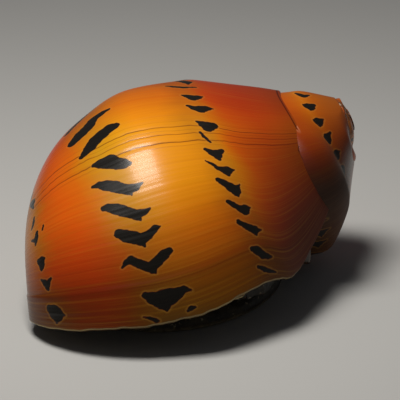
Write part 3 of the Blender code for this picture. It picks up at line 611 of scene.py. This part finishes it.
inner_along = np.repeat(edge_places[:, None], inner.shape[1], 1)
inner_growth = np.repeat(np.array([g for g, _ in INNER_STEPS + tuple(later)])[None], inner.shape[0], 0)
depth = np.array([d for _, d in INNER_STEPS + tuple(later)])
pale_inside = smooth(0.45, 0.9, depth)[None] * smooth(0.5, 1.6, edge_places)[:, None]
from_seam = ALONG - seam_place(GROWTH_CUT) * (1.0 - smooth(0.3, 1.2, ALONG))
on_earlier = np.where(ALONG > 1.5, 1.0, -1.0)
line = seam_line(outer, places, stations)
stored = {
    "along": np.concatenate([from_seam.ravel(), inner_along.ravel()]),
    "seam": np.concatenate([(on_earlier * distance_to_seam(ALONG, GROWTH_CUT, outer, line)).ravel(),
                            np.full(inner_along.size, -1.0)]),
    "edge": np.concatenate([GROWTH.ravel(), inner_growth.ravel()]),
    "laid": np.concatenate([season(ALONG, GROWTH_CUT).ravel(), inner_growth.ravel()]),
    "ink": np.concatenate([distance_to_marks(ALONG, GROWTH_CUT, plain).ravel(),
                           np.full(inner_along.size, 1.0)]),
    "inside": np.concatenate([np.zeros(ALONG.size), pale_inside.ravel()]),
}
shell = new_mesh("shell", points, all_faces, stored)
print("shell:", len(shell.data.vertices), "points,", len(shell.data.polygons), "faces")


# %% Drop unused points and weld the join
def clean(obj, weld=0.004):
    """Weld coincident points, drop loose points, and turn the faces outward."""
    work = bmesh.new()
    work.from_mesh(obj.data)
    bmesh.ops.remove_doubles(work, verts=work.verts, dist=weld * MM)
    bmesh.ops.delete(work, geom=[v for v in work.verts if not v.link_faces], context="VERTS")
    bmesh.ops.recalc_face_normals(work, faces=work.faces)
    work.to_mesh(obj.data)
    work.free()
    obj.data.shade_smooth()


clean(shell)
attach(shell, "root")
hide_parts("shell_body_whorl", "shell_lip", "shell_spire", "shell_apex")
print("shell after welding:", len(shell.data.polygons), "faces")

# %% [markdown]
# ## The shell's finish
# The ground colour comes from ramps over the two stored numbers. Across the lip it runs from
# orange at the suture through olive-yellow bands under each row of marks to red-orange between
# them. Along the growth it darkens towards the newest part, partly the newest shell's own colour
# and partly painted shade on the lower part of the shell. Fine noise stretched along the growth
# lines gives the streaks. The marks are near black with a faint painted reflection round them,
# and a clear coat over all gives the wet gloss.

# %% Small helpers for node trees
def finish_of(name):
    """A new material with its node tree and its Principled shader."""
    material = bpy.data.materials.new(name)
    material.use_nodes = True
    return material, material.node_tree, material.node_tree.nodes["Principled BSDF"]


def node(tree, kind, settings=None, **inputs):
    """Add a node, set its properties, and fill or link its inputs by name."""
    made = tree.nodes.new("ShaderNode" + kind)
    for key, value in (settings or {}).items():
        setattr(made, key, value)
    for key, value in inputs.items():
        socket = made.inputs[int(key[1:])] if key[0] == "_" else made.inputs[key.replace("_", " ")]
        if isinstance(value, bpy.types.NodeSocket):
            tree.links.new(value, socket)
        else:
            socket.default_value = value
    return made


def stored_number(tree, name):
    """Read a number that the mesh keeps on its vertices."""
    return node(tree, "Attribute", {"attribute_name": name}).outputs["Fac"]


def maths(tree, operation, first, second=0.0, third=0.0):
    """One arithmetic step."""
    return node(tree, "Math", {"operation": operation}, _0=first, _1=second, _2=third).outputs[0]


def scaled(tree, value, low, high, start=0.0, end=1.0):
    """Map a number from one range to another, held at the ends."""
    step = node(tree, "MapRange", None, Value=value)
    for i, number in enumerate((low, high, start, end)):
        step.inputs[i + 1].default_value = number
    return step.outputs["Result"]


def ramp(tree, value, stops, ease="LINEAR"):
    """A colour ramp from a list of places and colours."""
    made = node(tree, "ValToRGB", None, Fac=value)
    made.color_ramp.interpolation = ease
    elements = made.color_ramp.elements
    while len(elements) < len(stops):
        elements.new(0.5)
    for element, (place, colour) in zip(elements, stops):
        element.position = place
        element.color = (*colour, 1.0) if len(colour) == 3 else colour
    return made.outputs["Color"]


def mixed(tree, share, first, second, blend="MIX"):
    """Two colours mixed by a share."""
    made = node(tree, "Mix", {"data_type": "RGBA", "blend_type": blend})
    for socket, value in ((0, share), (6, first), (7, second)):
        if isinstance(value, bpy.types.NodeSocket):
            tree.links.new(value, made.inputs[socket])
        elif socket:
            made.inputs[socket].default_value = (*value, 1.0)
        else:
            made.inputs[socket].default_value = value
    return made.outputs[2]


def noise(tree, vector, scale, detail=3.0, rough=0.5):
    """Fractal noise between 0 and 1."""
    return node(tree, "TexNoise", None, Vector=vector, Scale=scale, Detail=detail,
                Roughness=rough).outputs["Fac"]


def bump(tree, height, strength, distance, normal=None):
    """A bump of a real height in millimetres."""
    made = node(tree, "Bump", None, Height=height, Strength=strength, Distance=distance * MM)
    if normal is not None:
        tree.links.new(normal, made.inputs["Normal"])
    return made.outputs["Normal"]


print("helpers ready")

# %% The colours of the shell
ACROSS_LIP = (
    (0.0, (0.40, 0.085, 0.002)), (0.25, (0.52, 0.085, 0.002)), (0.5, (0.58, 0.078, 0.002)),
    (1.0, (0.66, 0.110, 0.002)), (1.4, (0.62, 0.175, 0.002)), (1.7, (0.56, 0.205, 0.003)),
    (2.1, (0.60, 0.225, 0.003)), (2.5, (0.80, 0.300, 0.002)), (3.0, (0.86, 0.340, 0.002)),
    (3.5, (0.78, 0.350, 0.003)), (4.0, (0.62, 0.300, 0.005)), (4.4, (0.60, 0.230, 0.003)),
    (4.8, (0.68, 0.145, 0.002)), (5.2, (0.74, 0.115, 0.002)), (5.6, (0.64, 0.110, 0.002)),
    (6.0, (0.46, 0.160, 0.003)), (6.6, (0.38, 0.140, 0.004)), (7.3, (0.24, 0.090, 0.005)),
    (8.0, (0.16, 0.075, 0.008)))
INK = (0.010, 0.008, 0.006)
FRINGE = (0.10, 0.012, 0.004)
MARK_REFLECTION = (0.74, 0.40, 0.06)
PORCELAIN = (0.60, 0.56, 0.46)

material, tree, shader = finish_of("nerite_shell")
along = stored_number(tree, "along")
laid = stored_number(tree, "laid")
ink = stored_number(tree, "ink")
seam = stored_number(tree, "seam")
edge_age = stored_number(tree, "edge")
inside = stored_number(tree, "inside")


def stretched(across, onward):
    """A place in the coil's own numbers, for noise with a grain."""
    return node(tree, "CombineXYZ", None, X=maths(tree, "MULTIPLY", along, across),
                Y=maths(tree, "MULTIPLY", laid, onward)).outputs[0]


cloud = noise(tree, stretched(0.55, 0.06), 1.0, 3.0)
streak = noise(tree, stretched(0.22, 1.3), 1.0, 5.0, 0.68)
hairline = noise(tree, stretched(0.5, 4.5), 1.0, 4.0, 0.6)
band_shift = maths(tree, "MULTIPLY", scaled(tree, cloud, 0.3, 0.7, -0.20, 0.20),
                   scaled(tree, along, 0.2, 0.8))
band_place = scaled(tree, maths(tree, "ADD", along, band_shift), 0.0, LIP_END)
stops = [(t / LIP_END, colour) for t, colour in ACROSS_LIP]
banded = ramp(tree, band_place, stops)
print("the ground colour has", len(stops), "stops")

# %% Growth, streaks and pauses
AGE_FIRST, AGE_LAST = -400.0, 0.0
# Darker towards the newest part: partly the newest shell's own colour, partly painted shade on the lower part of the
# shell.
BY_AGE_AND_SHADE = (
    (-400.0, (0.55, 0.26, 1.0)), (-250.0, (0.66, 0.34, 1.0)), (-120.0, (0.66, 0.34, 1.0)),
    (-95.0, (0.70, 0.38, 1.0)), (-80.0, (0.78, 0.46, 1.0)), (-68.0, (0.95, 0.76, 1.0)),
    (-60.0, (1.05, 1.0, 1.0)), (-38.0, (1.12, 1.0, 1.0)), (-30.0, (1.0, 0.78, 1.0)),
    (-26.0, (0.88, 0.58, 1.0)), (-20.0, (0.68, 0.38, 0.8)), (-13.5, (0.48, 0.27, 0.6)),
    (-12.2, (0.27, 0.14, 0.5)), (-11.2, (0.25, 0.13, 0.5)), (-9.5, (0.30, 0.20, 0.6)),
    (0.0, (0.20, 0.17, 0.8)))
age_and_shade_stops = [((g - AGE_FIRST) / (AGE_LAST - AGE_FIRST), colour) for g, colour in BY_AGE_AND_SHADE]
by_age_and_shade = ramp(tree, scaled(tree, laid, AGE_FIRST, AGE_LAST), age_and_shade_stops)
ground = mixed(tree, 1.0, banded, by_age_and_shade, "MULTIPLY")

# Near the suture the newest part darkens to deep brown: partly the shell's own colour, partly painted shade.
SHADED_BROWN = (0.035, 0.012, 0.003)
newest_brown_and_shade = maths(tree, "MULTIPLY", scaled(tree, laid, -50.0, -14.0), scaled(tree, along, 2.6, 0.5))
ground = mixed(tree, maths(tree, "MULTIPLY", newest_brown_and_shade, 0.9), ground, SHADED_BROWN)
# Beside the seam the last whorl darkens: partly the shell's own colour, partly painted shade.
seam_brown_and_shade = maths(tree, "MULTIPLY", scaled(tree, laid, -74.0, -52.0), scaled(tree, along, 1.5, 0.1, 0.0, 0.6))
ground = mixed(tree, seam_brown_and_shade, ground, (0.13, 0.014, 0.002))

SPIRE_BANDS = ((0.0, (0.30, 0.10, 0.03)), (0.12, (0.36, 0.09, 0.008)), (0.28, (0.48, 0.11, 0.003)),
               (0.42, (0.60, 0.17, 0.003)), (0.58, (0.54, 0.11, 0.003)), (0.75, (0.42, 0.06, 0.002)),
               (1.0, (0.42, 0.07, 0.005)))
on_spire = scaled(tree, laid, -290.0, -345.0)
spire_place = scaled(tree, maths(tree, "ADD", along, band_shift), -0.6, 4.6)
spire = ramp(tree, spire_place, SPIRE_BANDS)
# Painted shade: the spire darkens towards its newest part, which lies on its shaded side.
spire_painted_shade = ramp(tree, scaled(tree, laid, -460.0, -340.0),
                 ((0.0, (1.0, 1.0, 1.0)), (0.30, (0.95, 0.85, 1.0)), (0.55, (0.62, 0.45, 0.9)),
                  (0.72, (0.30, 0.22, 0.8)), (0.9, (0.12, 0.12, 0.8)), (1.0, (0.10, 0.10, 0.8))))
spire = mixed(tree, 1.0, spire, spire_painted_shade, "MULTIPLY")
ground = mixed(tree, on_spire, ground, spire)
# Painted shade in deep brown on the earlier whorl's lower flank beside the mouth.
shade = ramp(tree, scaled(tree, laid, -380.0, -260.0),
             ((0.0, (0.0,) * 3), (0.25, (0.92,) * 3), (0.72, (0.92,) * 3), (1.0, (0.0,) * 3)))
shade = maths(tree, "MULTIPLY", shade, scaled(tree, along, 0.9, 2.2))
shade = maths(tree, "MULTIPLY", shade, scaled(tree, along, 7.0, 5.0))
ground = mixed(tree, shade, ground, SHADED_BROWN)
# Where shade is painted, the surface is also rougher and loses its clear coat.
shade_dulled = maths(tree, "MAXIMUM", newest_brown_and_shade, shade)

calm = scaled(tree, laid, -300.0, -345.0, 1.0, 0.25)
pale_streak = maths(tree, "MULTIPLY", scaled(tree, streak, 0.50, 0.80, 0.0, 0.20), calm)
dark_streak = maths(tree, "MULTIPLY", scaled(tree, streak, 0.46, 0.22, 0.0, 0.22), calm)
ground = mixed(tree, pale_streak, ground, (0.85, 0.42, 0.04))
ground = mixed(tree, dark_streak, ground, (0.32, 0.04, 0.002))
ground = mixed(tree, scaled(tree, hairline, 0.42, 0.26, 0.0, 0.24), ground, (0.28, 0.045, 0.002))

PAUSE_FIRST, PAUSE_LAST = -66.0, -46.0
NONE = (0.0, 0.0, 0.0)
LINES = ((-62.6, 0.22, 0.35), (-59.8, 0.40, 1.0), (-57.8, 0.18, 0.45), (-56.0, 0.30, 0.9),
         (-52.4, 0.40, 1.0), (-50.6, 0.18, 0.4))
pause_stops = [(0.0, NONE)]
for line, half, strength in LINES:
    for shift, level in ((-half, 0.0), (0.0, strength), (half, 0.0)):
        pause_stops.append(((line + shift - PAUSE_FIRST) / (PAUSE_LAST - PAUSE_FIRST), (level,) * 3))
wander = scaled(tree, noise(tree, stretched(2.6, 0.0), 1.0, 2.0), 0.3, 0.7, -0.35, 0.35)
pause_place = scaled(tree, maths(tree, "ADD", laid, wander), PAUSE_FIRST, PAUSE_LAST)
pause = ramp(tree, pause_place, pause_stops)
pause_share = maths(tree, "MULTIPLY", pause, scaled(tree, cloud, 0.3, 0.55, 0.6, 0.95))
ground = mixed(tree, pause_share, ground, (0.12, 0.010, 0.002))

# Painted reflection: a faint pale edge round each mark.
mark_reflection_share = ramp(tree, scaled(tree, ink, 0.0, 0.14), ((0.0, (0.22,) * 3), (0.4, (0.12,) * 3), (1.0, NONE)))
ground = mixed(tree, mark_reflection_share, ground, MARK_REFLECTION)
ground = mixed(tree, scaled(tree, ink, 0.030, 0.0), ground, FRINGE)
in_mark = scaled(tree, ink, 0.004, -0.030)
marked = mixed(tree, in_mark, ground, INK)
print("age ramp with", len(age_and_shade_stops), "stops, pause ramp with", len(pause_stops))

# %% The seam and the lip's edge
SEAM_REACH = 0.3
# The seam's dark line is partly the shell's own colour and partly painted shade in the groove; the pale line beside
# it is a painted highlight on the step.
SEAM_SHADE_LINE = ((0.0, (0.0,) * 3), (0.36, (0.0,) * 3), (0.46, (0.9,) * 3), (0.54, (0.9,) * 3),
             (0.60, (0.0,) * 3), (1.0, (0.0,) * 3))
SEAM_HIGHLIGHT = ((0.0, (0.0,) * 3), (0.56, (0.0,) * 3), (0.62, (0.75,) * 3), (0.68, (0.75,) * 3),
               (0.76, (0.0,) * 3), (1.0, (0.0,) * 3))
seam_level = scaled(tree, seam, -SEAM_REACH, SEAM_REACH)
seam_highlight_share = maths(tree, "MULTIPLY", ramp(tree, seam_level, SEAM_HIGHLIGHT), scaled(tree, laid, -394.0, -410.0))
marked = mixed(tree, seam_highlight_share, marked, (0.86, 0.44, 0.26))
marked = mixed(tree, ramp(tree, seam_level, SEAM_SHADE_LINE), marked, (0.07, 0.008, 0.002))
rim_line = maths(tree, "MULTIPLY", scaled(tree, edge_age, -0.30, -0.12), scaled(tree, along, 0.8, 1.6))
lit_rim = mixed(tree, scaled(tree, streak, 0.44, 0.60), (0.10, 0.055, 0.015), (0.42, 0.31, 0.11))
marked = mixed(tree, rim_line, marked, lit_rim)
rim_edge = scaled(tree, edge_age, 0.02, 0.22)
marked = mixed(tree, maths(tree, "MULTIPLY", rim_edge, scaled(tree, along, 0.8, 1.6)), marked, (0.085, 0.045, 0.012))
print("the dark seam is about", round(SEAM_REACH * 0.2, 2), "mm wide")

# %% Wear at the tip, the pale inside, and the gloss
worn_noise = noise(tree, node(tree, "TexCoord").outputs["Object"], 1500.0, 5.0, 0.65)
worn_share = maths(tree, "MULTIPLY", scaled(tree, laid, -560.0, -760.0),
                   scaled(tree, worn_noise, 0.42, 0.58, 0.0, 0.9))
worn_colour = mixed(tree, scaled(tree, worn_noise, 0.60, 0.68), (0.075, 0.032, 0.008), (0.62, 0.50, 0.36))
worn = mixed(tree, worn_share, marked, worn_colour)
lined_inside = mixed(tree, scaled(tree, cloud, 0.35, 0.65, 0.0, 0.5), PORCELAIN, (0.50, 0.40, 0.24))
whole = mixed(tree, inside, worn, lined_inside)
tree.links.new(whole, shader.inputs["Base Color"])
rough = scaled(tree, streak, 0.3, 0.7, 0.34, 0.24)
rough = maths(tree, "ADD", rough, maths(tree, "MULTIPLY", worn_share, 0.35))
rough = maths(tree, "ADD", rough, maths(tree, "MULTIPLY", shade_dulled, 0.45))
tree.links.new(rough, shader.inputs["Roughness"])
shader.inputs["Specular IOR Level"].default_value = 0.3
tree.links.new(scaled(tree, shade_dulled, 0.0, 0.8, 0.12, 0.0), shader.inputs["Coat Weight"])
shader.inputs["Coat Roughness"].default_value = 0.12
fine = bump(tree, hairline, 0.22, 0.012)
pits = bump(tree, maths(tree, "MULTIPLY", worn_noise, worn_share), 0.6, 0.12, fine)
tree.links.new(pits, shader.inputs["Normal"])
shell.data.materials.append(material)
print("shell finish ready")

# %% [markdown]
# ## The deck
# The opening of a nerite is half closed by a shelf of pale callus with low teeth on its
# edge. The solid already has the outline and the teeth, with hard edges. Remeshing a
# copy finely and smoothing it rounds every edge as the real, poured-looking callus is.

# %% Rounded copies of solids
def copy_nodes(name, nodes):
    """One new object with the meshes of several solids, in place."""
    work = bmesh.new()
    for key in nodes:
        work.from_mesh(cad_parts[key].data)
    bmesh.ops.remove_doubles(work, verts=work.verts, dist=0.001 * MM)
    mesh = bpy.data.meshes.new(name)
    work.to_mesh(mesh)
    work.free()
    obj = bpy.data.objects.new(name, mesh)
    bpy.context.scene.collection.objects.link(obj)
    return obj


def apply_modifiers(obj):
    """Bake an object's modifiers into its mesh."""
    bpy.context.view_layer.update()
    graph = bpy.context.evaluated_depsgraph_get()
    mesh = bpy.data.meshes.new_from_object(obj.evaluated_get(graph))
    obj.modifiers.clear()
    obj.data = mesh


def remesh(obj, voxel):
    """Rebuild the surface from small cubes, as one skin."""
    step = obj.modifiers.new("remesh", "REMESH")
    step.mode = "VOXEL"
    step.voxel_size = voxel * MM
    step.use_smooth_shade = True
    apply_modifiers(obj)


def push(obj, distance):
    """Move the surface out along its normals, in millimetres."""
    step = obj.modifiers.new("push", "DISPLACE")
    step.strength = distance * MM
    step.mid_level = 0.0
    apply_modifiers(obj)


def relax(obj, factor, repeats):
    """Smooth the surface without much loss of size."""
    step = obj.modifiers.new("relax", "SMOOTH")
    step.factor = factor
    step.iterations = repeats
    apply_modifiers(obj)
    obj.data.shade_smooth()


def dress(obj, name, material, slot_name, *nodes):
    """Give a piece its finish, its body and the solids that it stands for."""
    obj.name = name
    obj.data.name = name
    obj.data.materials.clear()
    obj.data.materials.append(material)
    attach(obj, "root")
    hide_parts(*nodes)
    print(name, "has", len(obj.data.polygons), "faces")


deck = copy_nodes("deck", ["shell_deck"])
remesh(deck, 0.09)
relax(deck, 0.6, 8)

material, tree, shader = finish_of("callus")
place = node(tree, "TexCoord").outputs["Object"]
mottle = noise(tree, place, 420.0, 4.0)
callus = ramp(tree, mottle, ((0.3, (0.50, 0.38, 0.16)), (0.5, (0.68, 0.60, 0.40)), (0.7, (0.74, 0.70, 0.58))))
# Painted shade: the deck darkens to brown at its outer end, where it meets the lip.
painted_shade_end = scaled(tree, node(tree, "SeparateXYZ", None, Vector=place).outputs["X"], 4.7 * MM, 5.7 * MM)
callus = mixed(tree, painted_shade_end, callus, (0.05, 0.02, 0.007))
tree.links.new(callus, shader.inputs["Base Color"])
shader.inputs["Roughness"].default_value = 0.22
shader.inputs["Coat Weight"].default_value = 0.2
shader.inputs["Coat Roughness"].default_value = 0.1
shader.inputs["Subsurface Weight"].default_value = 0.15
shader.inputs["Subsurface Radius"].default_value = (1.0, 0.7, 0.4)
shader.inputs["Subsurface Scale"].default_value = 0.0005
tree.links.new(bump(tree, mottle, 0.15, 0.04), shader.inputs["Normal"])
dress(deck, "deck", material, "callus", "shell_deck")

# %% [markdown]
# ## The operculum
# The hard plate that shuts the door lies on the back of the foot. It is a thin half oval with
# a smooth bevelled edge and curved growth arcs round one corner, which the finish draws
# as rings from that corner.

# %% Operculum
operculum = copy_nodes("operculum", ["operculum"])
remesh(operculum, 0.07)
relax(operculum, 0.5, 3)
low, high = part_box("operculum")
material, tree, shader = finish_of("operculum_plate")
place = node(tree, "TexCoord").outputs["Object"]
corner = Vector((low[0], high[1], high[2]))
from_corner = node(tree, "VectorMath", {"operation": "DISTANCE"}, _0=place, _1=tuple(corner)).outputs["Value"]
rings = maths(tree, "SINE", maths(tree, "MULTIPLY", from_corner, 2.0 * math.pi / (0.45 * MM)))
grain = noise(tree, place, 900.0, 4.0)
plate = ramp(tree, grain, ((0.3, (0.16, 0.09, 0.05)), (0.6, (0.36, 0.22, 0.12)), (0.8, (0.50, 0.36, 0.22))))
plate = mixed(tree, scaled(tree, rings, -1.0, 1.0, 0.0, 0.45), plate, (0.12, 0.06, 0.03))
tree.links.new(plate, shader.inputs["Base Color"])
shader.inputs["Roughness"].default_value = 0.35
tree.links.new(bump(tree, rings, 0.4, 0.02), shader.inputs["Normal"])
dress(operculum, "operculum_shown", material, "plate", "operculum")

# %% [markdown]
# ## The soft body
# The solids part the animal into foot, trunk, head, snout and feelers, with thin cuts between
# them. The living skin has no cuts. All those solids are swollen a little so that they
# meet, rebuilt as one surface, shrunk back by most of that, and relaxed. Then low wrinkles are
# pressed into the skin, deeper on the back and none on the sole, and the finish adds fine bumps.

# %% One skin over the soft body
FLESH = ["foot", "trunk", "head", "snout", "tentacle_left", "tentacle_tip_left", "tentacle_right",
         "tentacle_tip_right", "eyestalk_left", "eyestalk_right"]
SWELL = 0.19
skin = copy_nodes("soft_body", FLESH)
push(skin, SWELL)
remesh(skin, 0.11)
relax(skin, 0.5, 9)
push(skin, -SWELL * 0.8)
relax(skin, 0.4, 2)
print("skin of", len(skin.data.vertices), "points")

# %% Wrinkles and tubercles
def wrinkle(obj):
    """Press wrinkles into the skin, none on the sole, and keep their depth per vertex."""
    mesh = obj.data
    count = len(mesh.vertices)
    place = np.empty(count * 3, np.float32)
    normal = np.empty(count * 3, np.float32)
    mesh.vertices.foreach_get("co", place)
    mesh.vertex_normals.foreach_get("vector", normal)
    place = place.reshape(-1, 3) / MM
    normal = normal.reshape(-1, 3)
    height = np.array([field.noise(Vector(p) * 1.7) * 0.5 + field.noise(Vector(p) * 4.0) * 0.35
                       + field.noise(Vector(p) * 9.0) * 0.2 for p in place])
    share = smooth(0.25, 1.2, place[:, 2])
    place = place + normal * (height * 0.09 * share)[:, None]
    place[:, 2] = np.maximum(place[:, 2], 0.0)
    mesh.vertices.foreach_set("co", (place * MM).astype(np.float32).ravel())
    layer = mesh.attributes.new("fold", "FLOAT", "POINT")
    layer.data.foreach_set("value", height.astype(np.float32))
    mesh.update()


wrinkle(skin)
material, tree, shader = finish_of("moist_skin")
place = node(tree, "TexCoord").outputs["Object"]
fold = stored_number(tree, "fold")
height = node(tree, "SeparateXYZ", None, Vector=place).outputs["Z"]
speckle = noise(tree, place, 3200.0, 3.0, 0.6)
patch = noise(tree, place, 500.0, 4.0, 0.6)
# The skin is near black: partly its own dark colour, partly painted shade for the foot seen under the lip.
dark_skin_and_shade = ramp(tree, patch, ((0.3, (0.010, 0.008, 0.005)), (0.55, (0.022, 0.017, 0.010)),
                          (0.75, (0.055, 0.042, 0.022))))
pale_fleck = scaled(tree, speckle, 0.62, 0.70, 0.0, 0.6)
flecked = mixed(tree, pale_fleck, dark_skin_and_shade, (0.34, 0.28, 0.17))
sole = scaled(tree, height, 0.45 * MM, 0.05 * MM)
soled = mixed(tree, sole, flecked, (0.30, 0.24, 0.15))
# Painted shade: the skin darkens in its deeper creases.
crease_shaded = mixed(tree, scaled(tree, fold, 0.0, -0.35, 0.0, 0.5), soled, (0.006, 0.005, 0.004))
tree.links.new(crease_shaded, shader.inputs["Base Color"])
tree.links.new(scaled(tree, patch, 0.3, 0.7, 0.40, 0.60), shader.inputs["Roughness"])
shader.inputs["Specular IOR Level"].default_value = 0.2
shader.inputs["Coat Weight"].default_value = 0.04
shader.inputs["Coat Roughness"].default_value = 0.15
shader.inputs["Subsurface Weight"].default_value = 0.2
shader.inputs["Subsurface Radius"].default_value = (1.0, 0.6, 0.4)
shader.inputs["Subsurface Scale"].default_value = 0.0004
tree.links.new(bump(tree, speckle, 0.4, 0.04), shader.inputs["Normal"])
dress(skin, "soft_body", material, "flesh", *FLESH)

# %% [markdown]
# ## The eyes
# Each eye is a small glossy black bead set in the end of its stalk, with a thin clear layer
# over it. A sphere is the true shape, so each takes the middle of its solid.

# %% Eyes
material, tree, shader = finish_of("eye_bead")
depth_of_black = noise(tree, node(tree, "TexCoord").outputs["Object"], 2400.0, 2.0)
bead = ramp(tree, depth_of_black, ((0.3, (0.004, 0.004, 0.005)), (0.8, (0.016, 0.012, 0.010))))
tree.links.new(bead, shader.inputs["Base Color"])
shader.inputs["Roughness"].default_value = 0.06
shader.inputs["Coat Weight"].default_value = 1.0
shader.inputs["Coat Roughness"].default_value = 0.02
for side in ("left", "right"):
    low, high = (Vector(corner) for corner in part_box("eye_" + side))
    bpy.ops.mesh.primitive_uv_sphere_add(segments=40, ring_count=24, radius=(high - low).x / 2.0)
    bead_obj = bpy.context.object
    bead_obj.data.transform(Matrix.Translation((low + high) / 2.0))
    bead_obj.data.shade_smooth()
    dress(bead_obj, "eye_bead_" + side, material, "eye", "eye_" + side)

# %% [markdown]
# ## The rim of the mantle
# The mantle is the thin skirt of flesh that builds the shell. It lines the lip and shows just
# below it as a pale, wavy, half-clear fringe. It is made as a ribbon in the coil's own
# numbers, so it follows the lip exactly, with small waves that grow towards its edge.

# %% Mantle rim
MANTLE_SPAN = (0.9, 7.2)
ribbon_places = np.linspace(*MANTLE_SPAN, 640)
ribbon = []
RIBBON_STEPS = ((-12.5, 1.34, 0.0), (-8.0, 1.21, 0.0), (-4.0, 1.02, 0.0), (-1.5, 0.84, 0.2),
                (-0.2, 0.70, 0.7), (0.25, 0.62, 1.0), (0.45, 0.64, 1.0), (0.45, 0.72, 1.0),
                (0.25, 0.76, 1.0), (-0.2, 0.88, 0.7), (-1.5, 1.10, 0.2), (-4.0, 1.35, 0.0),
                (-8.0, 1.60, 0.0), (-12.5, 1.8, 0.0))
wave = 0.05 * np.sin(ribbon_places * 19.0) + 0.03 * np.sin(ribbon_places * 43.0 + 1.0)
film = 0.9 * np.exp(-((ribbon_places - 2.65) / 0.22) ** 2)       # one fold hangs lower
reach_out = 0.14 * np.sin(ribbon_places * 7.3 + 0.5) + 0.10 * np.sin(ribbon_places * 27.0) + film
for growth, depth_here, share in RIBBON_STEPS:
    here = growth + share * reach_out + ragged_edge(ribbon_places) * smooth(-9.0, 0.0, growth)
    ribbon.append(inside_of(ribbon_places, here, depth_here + share * wave, 0.0))
ribbon = np.stack(ribbon, 1)
ring = np.concatenate([ribbon, ribbon[:, :1]], 1)
mantle = new_mesh("mantle_rim", ring.reshape(-1, 3), grid_faces(*ring.shape[:2]))
clean(mantle)
material, tree, shader = finish_of("mantle_skin")
place = node(tree, "TexCoord").outputs["Object"]
veil = noise(tree, place, 1600.0, 4.0)
edge = ramp(tree, veil, ((0.3, (0.16, 0.11, 0.04)), (0.5, (0.30, 0.22, 0.10)), (0.7, (0.48, 0.40, 0.23))))
tree.links.new(edge, shader.inputs["Base Color"])
shader.inputs["Roughness"].default_value = 0.3
shader.inputs["Coat Weight"].default_value = 0.4
shader.inputs["Subsurface Weight"].default_value = 0.5
shader.inputs["Subsurface Radius"].default_value = (1.0, 0.7, 0.4)
shader.inputs["Subsurface Scale"].default_value = 0.0006
tree.links.new(bump(tree, veil, 0.3, 0.03), shader.inputs["Normal"])
dress(mantle, "mantle_rim", material, "rim", "mantle_edge")
